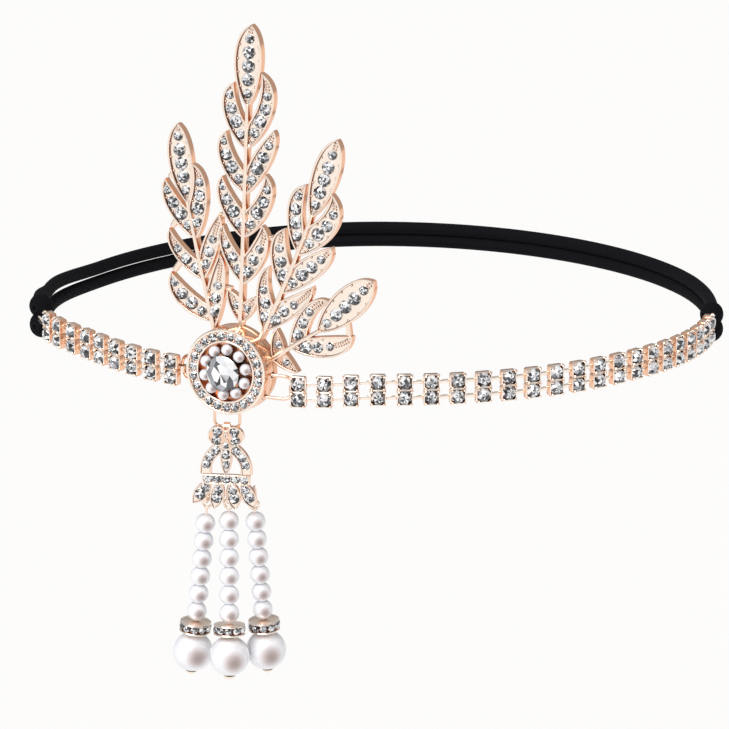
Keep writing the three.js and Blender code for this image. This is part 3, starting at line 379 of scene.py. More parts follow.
def uneven(tree, shader, scale, low, high):
    """A roughness that wanders between two values."""
    made = node(tree, "ShaderNodeMapRange", **{"To Min": low, "To Max": high})
    tree.links.new(noise(tree, scale), made.inputs["Value"])
    tree.links.new(made.outputs["Result"], shader.inputs["Roughness"])


def gold_material():
    """Rose gold plate, its colour painted by tone: pale where painted lit, darker and redder on side
    walls as painted shade, with faint polish marks.
    """
    material, tree, shader = new_material("rose_gold_plate", {"Metallic": 1.0})
    tone = node(tree, "ShaderNodeAttribute", attribute_name="tone")
    # From deep painted shade at tone 0 to painted full light at tone 1.
    stops = [(0.0, (0.10, 0.035, 0.02)), (0.2, (0.62, 0.25, 0.12)), (0.36, (0.93, 0.55, 0.36)),
             (0.65, (0.96, 0.72, 0.57)), (1.0, (1.0, 0.89, 0.79))]
    colour = ramp(tree, tone.outputs["Fac"], stops)
    tree.links.new(colour, shader.inputs["Base Color"])
    uneven(tree, shader, 900.0, 0.13, 0.26)
    bump(tree, shader, noise(tree, 1400.0, 2.0), 0.12, 0.00004)
    return material


def crystal_material():
    """Foiled clear stone: each facet has its own tone, a painted reflection from black through grey to
    white.
    """
    settings = {"Metallic": 0.35, "Coat Weight": 0.6, "Coat Roughness": 0.03}
    material, tree, shader = new_material("clear_crystal", settings)
    tone = node(tree, "ShaderNodeAttribute", attribute_name="tone")
    # Black, grey and white facets are painted reflections.
    stops = [(0.0, (0.01, 0.01, 0.012)), (0.4, (0.22, 0.23, 0.25)),
             (0.75, (0.7, 0.72, 0.76)), (1.0, (1, 1, 1))]
    colour = ramp(tree, tone.outputs["Fac"], stops)
    tree.links.new(colour, shader.inputs["Base Color"])
    uneven(tree, shader, 600.0, 0.05, 0.12)
    return material


def pearl_material():
    """White pearl lustre: a clear coat, faint clouds, a warm painted reflection low on the front and
    greyer painted shade on the side turned away from it.
    """
    settings = {"Metallic": 0.1, "Coat Weight": 0.7, "Coat Roughness": 0.08}
    material, tree, shader = new_material("pearl_lustre", settings)
    body = (0.9, 0.9, 0.93)
    surface = node(tree, "ShaderNodeTexCoord")
    patch = node(tree, "ShaderNodeVectorMath", operation="DOT_PRODUCT")
    tree.links.new(surface.outputs["Normal"], patch.inputs[0])
    patch.inputs[1].default_value = PEARL_PAINTED_REFLECTION
    # Greyer where the surface turns away from the patch: painted shade. Warm round the patch's middle:
    # painted reflection.
    stops = [(0.0, (0.78, 0.80, 0.84)), (0.45, body), (0.78, body),
             (0.9, (0.70, 0.63, 0.63)), (1.0, (0.36, 0.28, 0.26))]
    warm = ramp(tree, patch.outputs["Value"], stops)
    cloud = ramp(tree, noise(tree, 260.0), [(0.3, (0.93, 0.92, 0.93)), (0.7, (1.0, 1.0, 1.0))])
    colour = node(tree, "ShaderNodeMix", data_type="RGBA", blend_type="MULTIPLY")
    colour.inputs["Factor"].default_value = 1.0
    tree.links.new(warm, colour.inputs["A"])
    tree.links.new(cloud, colour.inputs["B"])
    tree.links.new(colour.outputs["Result"], shader.inputs["Base Color"])
    uneven(tree, shader, 500.0, 0.26, 0.36)
    bump(tree, shader, noise(tree, 700.0), 0.05, 0.00005)
    return material


def elastic_material():
    """Black knitted elastic: fine ribs along the cord crossed by a slanted knit."""
    material, tree, shader = new_material("black_elastic", {"Specular IOR Level": 0.06})
    weave = node(tree, "ShaderNodeAttribute", attribute_name="weave")
    rib = node(tree, "ShaderNodeTexWave", Scale=1.0, Distortion=0.4)
    rib.bands_direction = "DIAGONAL"
    tree.links.new(weave.outputs["Vector"], rib.inputs["Vector"])
    stops = [(0.0, (0.002, 0.002, 0.003)), (1.0, (0.010, 0.010, 0.013))]
    colour = ramp(tree, rib.outputs["Fac"], stops)
    tree.links.new(colour, shader.inputs["Base Color"])
    uneven(tree, shader, 900.0, 0.75, 0.95)
    bump(tree, shader, rib.outputs["Fac"], 0.5, 0.0002)
    return material


GOLD, CRYSTAL, LUSTRE, BLACK = range(4)
MATERIALS = [gold_material(), crystal_material(), pearl_material(), elastic_material()]
SMOOTH_ANGLE = math.radians(38)


# Meshes under construction
class Shape:
    """Corners in millimetres, and the material, tone and smoothness of each face. The tone is painted
    light, shade or reflection.
    """

    def __init__(self):
        self.corners = []
        self.faces = []
        self.rows = []
        self.weave = []

    def add(self, corners, faces, material=GOLD, tones=TONE_LIGHT, smooth=True, weave=None):
        start = len(self.corners)
        self.corners.extend(Vector(corner) for corner in corners)
        self.weave.extend(weave or [(0.0, 0.0, 0.0)] * len(corners))
        for i, face in enumerate(faces):
            tone = tones[i] if isinstance(tones, (list, tuple)) else tones
            self.faces.append(tuple(start + k for k in face))
            self.rows.append((material, tone, smooth))
        return self

    def place(self, other, matrix=Matrix.Identity(4), tones=None):
        start = len(self.corners)
        self.corners.extend(matrix @ corner for corner in other.corners)
        self.weave.extend(other.weave)
        self.faces.extend(tuple(start + k for k in face) for face in other.faces)
        if tones is None:
            self.rows.extend(other.rows)
        else:
            self.rows.extend((row[0], tone, row[2]) for row, tone in zip(other.rows, tones))
        return self


def new_object(name, data):
    made = bpy.data.objects.new(name, data)
    bpy.context.scene.collection.objects.link(made)
    return made


def piece(name, shape, body, replaced=(), matrix=Matrix.Identity(4)):
    """Makes the object, in metres, ties it to its body and hides the solids that it stands for."""
    mesh = bpy.data.meshes.new(name)
    corners = [(matrix @ corner) * MM for corner in shape.corners]
    mesh.from_pydata(corners, [], shape.faces)
    used = sorted({row[0] for row in shape.rows})
    for index in used:
        mesh.materials.append(MATERIALS[index])
    mesh.polygons.foreach_set("material_index", [used.index(row[0]) for row in shape.rows])
    # Each face's tone, its painted light, shade or reflection, goes to the materials.
    tone = mesh.attributes.new("tone", "FLOAT", "FACE")
    tone.data.foreach_set("value", [row[1] for row in shape.rows])
    if BLACK in used:
        weave = mesh.attributes.new("weave", "FLOAT_VECTOR", "POINT")
        weave.data.foreach_set("vector", [value for corner in shape.weave for value in corner])
    mesh.set_sharp_from_angle(angle=SMOOTH_ANGLE)
    mesh.polygons.foreach_set("use_smooth", [row[2] for row in shape.rows])
    mesh.update()
    made = new_object(name, mesh)
    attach(made, body)
    if replaced:
        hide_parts(*replaced)
    return made


def move(x=0.0, y=0.0, z=0.0):
    return Matrix.Translation((x, y, z))


def turn(axis, angle):
    return Matrix.Rotation(math.radians(angle), 4, axis)


def circle(radius, count, start=0.0):
    """Points evenly round a circle. start is a share of one step."""
    angles = [2 * math.pi * (i + start) / count for i in range(count)]
    return [(radius * math.cos(angle), radius * math.sin(angle)) for angle in angles]


def loft(rings, closed_path=False):
    """Faces between closed rings of equal length, with capped ends unless the path closes too."""
    count = len(rings[0])
    corners = [corner for ring in rings for corner in ring]
    faces = []
    last = len(rings) if closed_path else len(rings) - 1
    for i in range(last):
        low = i * count
        high = ((i + 1) % len(rings)) * count
        for k in range(count):
            after = (k + 1) % count
            faces.append((low + k, low + after, high + after, high + k))
    if not closed_path:
        faces.append(tuple(range(count))[::-1])
        faces.append(tuple(range((len(rings) - 1) * count, len(rings) * count)))
    return corners, faces


def turned_loft(profile, sides):
    return loft([[(x, y, height) for x, y in circle(radius, sides)] for radius, height in profile])


def turned(profile, sides, tones=None):
    """A profile of (radius, height) turned round Z. tones paints light and shade, one value for each
    band.
    """
    corners, faces = turned_loft(profile, sides)
    values = [1.0] * len(faces)
    if tones:
        for band, tone in enumerate(tones):
            values[band * sides:(band + 1) * sides] = [tone] * sides
        values[-2:] = [tones[0], tones[-1]]
    return Shape().add(corners, faces, GOLD, values)


def hoop(bore, wall, height, sides):
    """A short tube round Z, its end caps swapped for the wall of its bore."""
    half = height / 2
    ring = turned([(bore, -half), (bore + wall, -half), (bore + wall, half), (bore, half)], sides)
    last = len(ring.corners) - sides
    inside = [(last + i, last + (i + 1) % sides, (i + 1) % sides, i) for i in range(sides)]
    ring.faces = ring.faces[:-2] + inside
    ring.rows = ring.rows[:-2] + [ring.rows[0]] * sides
    return ring


def ball(diameter, sides, rings, material=GOLD):
    """A round ball with a corner at each pole."""
    half = diameter / 2
    angles = [math.pi * k / rings for k in range(1, rings)]
    profile = [(half * math.sin(angle), -half * math.cos(angle)) for angle in angles]
    corners, faces = turned_loft(profile, sides)
    faces = faces[:-2]
    low = len(corners)
    corners += [(0, 0, -half), (0, 0, half)]
    top = (rings - 2) * sides
    for i in range(sides):
        after = (i + 1) % sides
        faces.append((low, after, i))
        faces.append((low + 1, top + i, top + after))
    return Shape().add(corners, faces, material)


def tube(path, radius, sides=12, closed=False, material=GOLD, tone=TONE_LIGHT, stretch=1.0):
    """A round wire along points. stretch makes its section taller upwards."""
    rings = []
    weave = []
    count = len(path)
    travelled = 0.0
    side = None
    for i, point in enumerate(path):
        before = path[(i - 1) % count] if closed or i else point
        after = path[(i + 1) % count] if closed or i < count - 1 else point
        along = (after - before).normalized()
        if stretch != 1.0:
            side = Vector((0, 0, 1)).cross(along).normalized()
        elif side is None:
            side = along.orthogonal().normalized()
        else:
            side = (side - along * side.dot(along)).normalized()
        rise = along.cross(side)
        rings.append([point + side * x + rise * (y * stretch) for x, y in circle(radius, sides)])
        weave.extend((travelled, 2 * math.pi * k / sides * radius, 0.0) for k in range(sides))
        if i < count - 1:
            travelled += (path[i + 1] - point).length
    corners, faces = loft(rings, closed_path=closed)
    return Shape().add(corners, faces, material, tone, True, weave)


def rounded_box(x, y, z, edge, tones=(TONE_LIGHT, TONE_LIGHT, TONE_BACK)):
    """A box with bevelled edges round its origin. tones, painted light and shade, are for its front,
    sides and back.
    """
    rings = []
    for depth, inset in ((-z / 2, edge), (-z / 2 + edge, 0), (z / 2 - edge, 0), (z / 2, edge)):
        a, b = x / 2 - inset, y / 2 - inset
        near_a, near_b = a - edge, b - edge
        outline = ((a, -near_b), (a, near_b), (near_a, b), (-near_a, b),
                   (-a, near_b), (-a, -near_b), (-near_a, -b), (near_a, -b))
        rings.append([(*corner, depth) for corner in outline])
    corners, faces = loft(rings)
    values = [tones[2]] * 8 + [tones[1]] * 8 + [tones[0]] * 8 + [tones[2], tones[0]]
    return Shape().add(corners, faces, GOLD, values)


# Stones
TABLE = 0.56
STAR = 0.79
STAR_HEIGHT = 0.62
GIRDLE_FOOT = 0.97
# Shares and tones of the facets' painted reflections; SIDE_SHADE adds black ones towards the lower
# right as painted shade.
SIDE_SHADE = 0.28
GREY_SHARE = 0.2
BLACK_TONES = (0.0, 0.22)
GREY_TONES = (0.35, 0.65)
WHITE_TONES = (0.82, 1.0)


def brilliant(diameter, crown, foot):
    """A round stone that faces +Z, girdle at height 0: a table, star facets, kites and upper facets."""
    radius = diameter / 2
    girdle = [(x, y, 0) for x, y in circle(radius, 16)]
    low = [(x, y, -foot) for x, y in circle(radius * GIRDLE_FOOT, 16)]
    stars = [(x, y, crown * STAR_HEIGHT) for x, y in circle(radius * STAR, 8, 0.5)]
    table = [(x, y, crown) for x, y in circle(radius * TABLE, 16)]
    for i in range(1, 16, 2):
        x = (table[i - 1][0] + table[(i + 1) % 16][0]) / 2
        y = (table[i - 1][1] + table[(i + 1) % 16][1]) / 2
        table[i] = (x, y, crown)
    corners = girdle + low + stars + table + [(0, 0, crown)]
    star, top, middle = 32, 40, 56
    faces = []
    for i in range(8):
        before = (i - 1) % 8
        faces.append((top + 2 * i, star + i, top + (2 * i + 2) % 16, top + 2 * i + 1))
        faces.append((2 * i, star + i, top + 2 * i, star + before))
        faces.append((star + i, 2 * i, 2 * i + 1))
        faces.append((star + i, 2 * i + 1, (2 * i + 2) % 16))
    faces += [(middle, top + i, top + (i + 1) % 16) for i in range(16)]
    faces += [(16 + i, 16 + (i + 1) % 16, (i + 1) % 16, i) for i in range(16)]
    faces.append(tuple(range(16, 32))[::-1])
    return Shape().add(corners, faces, CRYSTAL, 1.0, False)


def facet_tones(shape, matrix, dark=0.44):
    """A painted reflection for each facet, its tone drawn at random. More of those towards the stone's
    lower right are black, painted shade.
    """
    tones = []
    radius = max(corner.xy.length for corner in shape.corners)
    spin = matrix.to_3x3()
    for face in shape.faces:
        centre = sum((shape.corners[k] for k in face), Vector()) / len(face)
        lean = (spin @ Vector((centre.x, centre.y, 0))) / radius
        shade = dark + SIDE_SHADE * (lean.x * 0.4 - lean.y)
        pick = draw.random()
        if pick < shade:
            tones.append(draw.uniform(*BLACK_TONES))
        elif pick < shade + GREY_SHARE:
            tones.append(draw.uniform(*GREY_TONES))
        else:
            tones.append(draw.uniform(*WHITE_TONES))
    return tones


def set_stone(shape, x, y, z, diameter, crown, foot=0.4):
    """Sets one stone with its girdle at z, turned at random, with painted reflections on its facets."""
    cut = brilliant(diameter, crown, foot)
    spin = turn("Z", draw.uniform(0, 360))
    shape.place(cut, move(x, y, z) @ spin, facet_tones(cut, spin))


GRAIN_BALL = ball(GRAIN, 8, 5)
# A flat dark ring under each grain paints the shade of its hollow.
GRAIN_RING = [(GRAIN * 0.2, 0), (GRAIN * 0.72, 0), (GRAIN * 0.6, 0.06), (GRAIN * 0.2, 0.06)]
GRAIN_SHADE = turned(GRAIN_RING, 8, [0.1] * 3)


def set_grain(shape, x, y, z, size=1.0):
    """A raised grain of metal in a small hollow, its shade painted as a dark ring."""
    at = move(x, y, z) @ Matrix.Scale(size, 4)
    shape.place(GRAIN_SHADE, at @ move(0, 0, -GRAIN_SINK))
    shape.place(GRAIN_BALL, at)


# Loop
def route(angle):
    """The loop's rise and spread, in millimetres, and its reach at an angle."""
    place = next(i for i in range(1, len(LOOP_ROUTE)) if LOOP_ROUTE[i]["angle"] >= angle)
    low, high = LOOP_ROUTE[place - 1], LOOP_ROUTE[place]
    share = (angle - low["angle"]) / (high["angle"] - low["angle"])
    ease = share * share * (3 - 2 * share)
    sizes = {"rise": LOOP_RADIUS, "reach": 1.0, "spread": KNOT_SPREAD}
    return {key: (low[key] + (high[key] - low[key]) * ease) * size for key, size in sizes.items()}


def outward(angle, radius, rise):
    """The frame on a circle round the head: X along the circle, Y up, Z outward."""
    sine, cosine = math.sin(math.radians(angle)), math.cos(math.radians(angle))
    return Matrix(((cosine, 0, sine, radius * sine), (sine, 0, -cosine, -radius * cosine),
                   (0, 1, 0, rise), (0, 0, 0, 1)))


def on_loop(angle, lift=0.0):
    at = route(angle)
    return outward(angle, LOOP_RADIUS * at["reach"], at["rise"] + lift)


def chain_angles(spec):
    angles = [spec["first"]]
    while len(angles) < spec["pairs"]:
        radius = LOOP_RADIUS * route(angles[-1])["reach"]
        angles.append(angles[-1] + spec["way"] * math.degrees(CHAIN_PITCH) / radius)
    return angles


def knot_angle(spec):
    last = chain_angles(spec)[-1]
    return last + spec["way"] * math.degrees(spec["knot_reach"]) / (LOOP_RADIUS * route(last)["reach"])


KNOT_ANGLES = {spec["knot"]: knot_angle(spec) for spec in CHAINS.values()}


def square_ring(half, depth, corner=0.45):
    """A square with rounded corners, three points to a corner."""
    points = []
    for quarter in range(4):
        for step in range(3):
            angle = math.pi / 2 * quarter + math.pi / 4 * step
            x = (half - corner) * (1 if quarter in (0, 3) else -1)
            y = (half - corner) * (1 if quarter in (0, 1) else -1)
            points.append((x + corner * math.cos(angle), y + corner * math.sin(angle), depth))
    return points


def cup():
    """One square claw cup: an open box on a narrower foot, with a claw on each corner."""
    half = CUP_SIZE / 2
    rings = [
        square_ring(half - 0.3, -CUP_DEPTH / 2),
        square_ring(half - 0.05, -CUP_DEPTH / 2 + 0.4),
        square_ring(half, CUP_FRONT - CUP_EDGE),
        square_ring(half - CUP_EDGE, CUP_FRONT),
        square_ring(half - CUP_WALL, CUP_FRONT),
        square_ring(half - CUP_WALL - CUP_EDGE, CUP_FRONT - 0.5),
    ]
    corners, faces = loft(rings)
    # Painted shade: walls darker, the inner wall and floor near black; the front face painted lit.
    tones = [0.2] * 12 + [0.4] * 12 + [1.0] * 24 + [0.1] * 12 + [0.35, 0.05]
    made = Shape().add(corners, faces, GOLD, tones)
    claw = ball(CLAW, 8, 6)
    longer = Matrix.Diagonal((1, 1, CLAW_STRETCH, 1))
    seat = CUP_SIZE * CLAW_SEAT
    for x in (-1, 1):
        for y in (-1, 1):
            lean = Matrix.Rotation(math.radians(CLAW_LEAN), 4, Vector((y, -x, 0)))
            made.place(claw, move(x * seat, y * seat, CUP_FRONT + CLAW_RISE) @ lean @ longer)
    return made


def chain(name, spec):
    made = Shape()
    angles = chain_angles(spec)
    cup_shape = cup()
    length = CHAIN_PITCH - CUP_SIZE + 1
    # Painted shade on the strip's sides and back, its front painted lit.
    strip = rounded_box(length, STRIP_HEIGHT, STRIP_THICKNESS, 0.12, (1.0, 0.6, 0.4))
    for i, angle in enumerate(angles):
        for row in (-1, 1):
            at = on_loop(angle, row * ROW_PITCH / 2)
            made.place(cup_shape, at)
            stone = Shape()
            set_stone(stone, 0, 0, CUP_FRONT - 0.05, CHAIN_STONE, CHAIN_CROWN)
            made.place(stone, at)
            if i:
                middle = (angle + angles[i - 1]) / 2
                made.place(strip, on_loop(middle, row * ROW_PITCH / 2))
    way = spec["way"]
    ring = hoop(EYE_BORE, EYE_WALL, EYE_HEIGHT, 20)
    made.place(ring, on_loop(angles[0]) @ move(-way * EYE_SIDE, 0, EYE_BACK) @ turn("X", 90))
    length = spec["knot_reach"] - KNOT_LENGTH / 2 - GAP
    tab = rounded_box(length, TAB_HEIGHT, 2 * STRIP_THICKNESS, 0.15)
    made.place(tab, on_loop(angles[-1]) @ move(way * length / 2))
    piece(name + "_stones", made, "headband", [name])


def elastic_point(angle, row):
    angle = angle if angle <= 180 else angle - 360
    return on_loop(angle, row * route(angle)["spread"] / 2).translation


def elastics():
    reach = math.degrees((KNOT_LENGTH / 2 + GAP) / LOOP_RADIUS)
    first = KNOT_ANGLES["knot_right"] + reach
    last = 360 + KNOT_ANGLES["knot_left"] - reach
    for name, row in (("elastic_upper", 1), ("elastic_lower", -1)):
        steps = range(ELASTIC_STEPS + 1)
        path = [elastic_point(first + (last - first) * i / ELASTIC_STEPS, row) for i in steps]
        made = tube(path, ELASTIC_DIAMETER / 2, 18, material=BLACK, stretch=ELASTIC_STRETCH)
        piece(name + "_knit", made, "headband", [name])


def knots():
    for name, angle in KNOT_ANGLES.items():
        made = Shape()
        spread = route(angle)["spread"]
        for row, size in ((1, KNOT_HEIGHTS["upper"]), (-1, KNOT_HEIGHTS["lower"])):
            lobe = ball(1.0, 24, 16, BLACK)
            lobe.weave = [(corner.z * KNOT_WEAVE, corner.x * KNOT_WEAVE, 0) for corner in lobe.corners]
            scaled = Matrix.Diagonal((KNOT_LENGTH, size, KNOT_DEPTH, 1))
            made.place(lobe, on_loop(angle, row * spread / 2) @ scaled)
        piece(name + "_wraps", made, "headband", [name])


# Medallion
medallion_at = outward(MEDALLION_ANGLE, LOOP_RADIUS, MEDALLION_RISE)


def wire_loop(width, height, near, far, wire):
    """A closed wire link in the XY plane, with its own corner radius at each end of X."""
    path = []
    for x, y, corner in ((1, -1, far), (1, 1, far), (-1, 1, near), (-1, -1, near)):
        centre = Vector((x * (width / 2 - corner), y * (height / 2 - corner), 0))
        start = math.atan2(y, x) - math.pi / 4
        for i in range(9):
            angle = start + math.pi / 2 * i / 8
            path.append(centre + Vector((math.cos(angle), math.sin(angle), 0)) * corner)
    # The wires' tone paints them a little in shade.
    return tube(path, wire / 2, 14, closed=True, tone=TONE_WIRE)


def ring_frame(name):
    """A wire ring's frame, with X from the hollow to the chain's eye, and its length."""
    spec = CHAINS["chain_right" if name == "ring_right" else "chain_left"]
    inner = HOLLOW_RADIUS - RING_WIRE / 2 - 2 * GAP
    depth = inner * math.cos(math.asin(RING_HEIGHT / 2 / HOLLOW_RADIUS))
    lean = math.radians(RING_ANGLES[name])
    start = Vector((depth * math.cos(lean), depth * math.sin(lean), WIRE_DEPTH))
    eye = Vector((-spec["way"] * EYE_SIDE, 0, EYE_BACK))
    end = medallion_at.inverted() @ on_loop(spec["first"]) @ eye
    along = (end - start).normalized()
    up = Vector((0, 1, 0))
    up = (up - along * up.dot(along)).normalized()
    made = Matrix((along, up, along.cross(up))).transposed().to_4x4()
    made.translation = (start + end) / 2
    return made, (end - start).length


def cut_away(target, cutters):
    """Cuts one joined mesh of cutters out of an object and applies the result."""
    mesh = bpy.data.meshes.new("cutters")
    mesh.from_pydata([corner * MM for corner in cutters.corners], [], cutters.faces)
    tool = new_object("cutters", mesh)
    change = target.modifiers.new("slots", "BOOLEAN")
    change.operation = "DIFFERENCE"
    change.solver = "EXACT"
    change.object = tool
    graph = bpy.context.evaluated_depsgraph_get()
    cut_mesh = bpy.data.meshes.new_from_object(target.evaluated_get(graph))
    target.modifiers.clear()
    target.data = cut_mesh
    bpy.data.objects.remove(tool)


def capsule(length, wide, depth):
    """A cutter along X whose section, long in Z, has round ends."""
    stretch = (depth - wide) / 2
    ring = [(y, z + (stretch if z >= 0 else -stretch)) for y, z in circle(wide / 2, 20)]
    corners, faces = loft([[(x, y, z) for y, z in ring] for x in (0.0, length)])
    return Shape().add(corners, faces)


def housing_profile():
    """Radius, height and next band's tone of painted light and shade, from the floor's back out, round
    and in again.
    """
    ring, wall = INNER_RING, INNER_RING_WALL / 2
    under = INNER_FLOOR - INNER_FLOOR_THICKNESS
    top = FIELD_TOP + INNER_RING_RAISE
    side, front = HOUSING_RADIUS, HOUSING_FRONT
    rim = side - RIM_WIDTH
    return [
        # Painted shade on the back, the lower side, the inner ring's inner wall and the floor within
        # it; the front faces painted lit.
        (AXIS, under, 0.3), (ring, under, 0.3), (ring, FIELD_LOW, 0.3), (HOLLOW_RADIUS, FIELD_LOW, 0.3),
        (HOLLOW_RADIUS, HOUSING_BACK, 0.45), (side - 0.15, HOUSING_BACK, 0.45),
        (side, HOUSING_BACK + 0.15, 0.42), (side, front - 0.25, 0.8), (side - 0.1, front - 0.06, 1.0),
        (side - 0.3, front, 1.0), (rim + 0.18, front, 1.0), (rim + 0.05, front - 0.08, 0.8),
        (rim, FIELD_TOP, 0.75), (ring + wall + 0.02, FIELD_TOP, 0.9),
        (ring + wall - 0.03, top - 0.1, 1.0), (ring + wall - 0.14, top, 1.0),
        (ring - wall + 0.14, top, 1.0), (ring - wall + 0.03, top - 0.1, 0.2),
        (ring - wall, INNER_FLOOR, 0.26), (AXIS, INNER_FLOOR, None),
    ]


def housing():
    rows = housing_profile()
    made = turned([row[:2] for row in rows], 96, [row[2] for row in rows[:-1]])
    slots = Shape()
    for name in RING_ANGLES:
        at, length = ring_frame(name)
        wide = RING_WIRE + 2 * SLOT_CLEARANCE
        for row in (-1, 1):
            hole = at @ move(-length / 2 + SLOT_START, row * RING_HEIGHT / 2)
            slots.place(capsule(HOUSING_WALL * 4, wide, wide), hole)
    deep = FIELD_LOW - HOUSING_BACK - SLOT_FLOOR
    middle = HOUSING_BACK + SLOT_FLOOR + deep / 2
    slot = capsule(HOUSING_RADIUS + LINK_TOP + 1, LINK_WIRE + 2 * SLOT_CLEARANCE, deep)
    for row in (-1, 1):
        at = move(LINK_SHIFT + row * LINK_WIDTH / 2, LINK_TOP - LINK_WIRE, middle)
        slots.place(slot, at @ turn("Z", -90) @ turn("X", 90))
    base = piece("medallion_rim", made, "headband", ["medallion_housing"], medallion_at)
    cut_away(base, Shape().place(slots, medallion_at))
    stones = Shape()
    for x, y in circle(RIM_STONE_CIRCLE, RIM_STONES, 0.25):
        set_stone(stones, x, y, FIELD_TOP + RIM_STONE_LIFT, RIM_STONE, RIM_STONE_CROWN, 0.6)
    for aside in RIM_GRAINS:
        for x, y in circle(RIM_STONE_CIRCLE + aside, RIM_STONES, 0.75):
            set_grain(stones, x, y, FIELD_TOP + RIM_GRAIN_LIFT, RIM_GRAIN_SIZE)
    piece("medallion_rim_stones", stones, "headband", (), medallion_at)


def centre():
    made = Shape()
    cut = brilliant(CENTRE_STONE, CENTRE_CROWN, CENTRE_EDGE)
    tones = facet_tones(cut, Matrix.Identity(4), CENTRE_DARK)
    made.place(cut, move(0, 0, CENTRE_GIRDLE + CENTRE_EDGE), tones)
    foot, reach = INNER_FLOOR + GAP, CENTRE_STONE / 2
    profile = ((0.3, foot), (reach * CENTRE_FOOT_SHARE, foot), (reach, CENTRE_GIRDLE))
    corners, faces = turned_loft(profile, 16)
    # Each facet of the foot gets a painted reflection drawn at random.
    tones = [draw.choice(CENTRE_FOOT_TONES) for _ in faces]
    made.add(corners, faces, CRYSTAL, tones, False)
    piece("centre_crystal", made, "headband", ["centre_stone"], medallion_at)


def pearls():
    bead = ball(PEARL, 28, 20, LUSTRE)
    start = 0.5 - MEDALLION_ROLL * PEARLS / 360
    for i, (x, y) in enumerate(circle(PEARL_CIRCLE, PEARLS, start), 1):
        at = medallion_at @ move(x, y, INNER_FLOOR + GAP + PEARL / 2)
        piece(f"medallion_pearl_{i}", bead, "headband", [f"pearl_{i}"], at)


def rings():
    for name in RING_ANGLES:
        at, length = ring_frame(name)
        made = wire_loop(length, RING_HEIGHT, RING_CORNER / 2, RING_CORNER, RING_WIRE)
        piece(name + "_wire", made, "headband", [name], medallion_at @ at)


# Leaf spray
def spot(pair):
    return Vector(pair) * SPRAY_HEIGHT


def across_of(line):
    return Vector((-line.y, line.x))


def quadratic(a, b, c, share):
    return a * (1 - share) ** 2 + b * (2 * share * (1 - share)) + c * share ** 2


def cubic(a, b, c, d, share):
    rest = 1 - share
    start = a * rest ** 3 + b * (3 * rest * rest * share)
    return start + c * (3 * rest * share * share) + d * share ** 3


def stem_point(name, share):
    return quadratic(*map(spot, STEMS[name]), share)


def belly_edge(base, tip, belly, fullness, share):
    chord = tip - base
    out = across_of(chord) * belly
    near, near_out, far, far_out = fullness
    first = base + chord * near + out * near_out
    second = base + chord * far + out * far_out
    return cubic(base, first, second, tip, share)


def side_leaf(leaf, shares):
    tip = spot(leaf["tip"])
    base = stem_point(leaf["stem"], leaf["base"])
    seat = stem_point(leaf["stem"], leaf["seat"])
    chord = tip - base
    side = -1 if chord.cross(seat - base) > 0 else 1
    outer = [belly_edge(base, tip, side * leaf["belly"], SIDE_FULLNESS, t) for t in shares]
    bend = seat.lerp(tip, 0.5) + across_of(chord) * (side * leaf["bow"] * 2)
    inner = []
    for t in shares:
        if t < SEAT_STATION:
            inner.append(base.lerp(seat, t / SEAT_STATION))
        else:
            inner.append(quadratic(seat, bend, tip, (t - SEAT_STATION) / (1 - SEAT_STATION)))
    return outer, inner


def end_leaf(leaf, shares):
    tip = spot(leaf["tip"])
    _, bend, end = map(spot, STEMS[leaf["stem"]])
    speed = 2 * (end - bend).length
    base = stem_point(leaf["stem"], 1 - END_LEAF_SINK / speed)
    left, right = leaf["bellies"]
    outer = [belly_edge(base, tip, left, END_FULLNESS, t) for t in shares]
    inner = [belly_edge(base, tip, -right, END_FULLNESS, t) for t in shares]
    return outer, inner


def rimmed(outer, inner, rim, front, floor, back):
    """A body between two edges: upright walls, a rounded rim along both and a sunk floor, with painted
    shade on the walls and back and a thin dark line of painted shade inside the rims.
    """
    rings = []
    for near, far in zip(outer, inner):
        across = far - near
        width = max(across.length, 1e-4)
        across = across / width
        edge = min(rim, width * 0.49)
        sunk = max(0.0, min(1.0, (width - 2.0 * rim) / (0.8 * rim)))
        low = front - (front - floor) * sunk
        steps = ((0, back), (0, front - 0.16), (0.05, front - 0.05), (0.16, front), (0.72, front),
                 (0.9, front - 0.06 * sunk), (1.0, front + (low - front) * 0.4), (1.03, low))
        half = [(share * edge, height) for share, height in steps]
        ring = [(near + across * reach, height) for reach, height in half]
        ring += [(far - across * reach, height) for reach, height in reversed(half)]
        rings.append([(place.x, place.y, height) for place, height in ring])
    corners, faces = loft(rings)
    # Painted shade: walls, back and a dark line inside the rims; rim tops and floor painted lit.
    half = [TONE_WALL] + [TONE_LIGHT] * 4 + [TONE_EDGE] * 2
    around = half + [TONE_FLOOR] + half[::-1] + [TONE_BACK]
    tones = [around[i % 16] for i in range(len(faces) - 2)] + [TONE_WALL, TONE_WALL]
    return Shape().add(corners, faces, GOLD, tones)


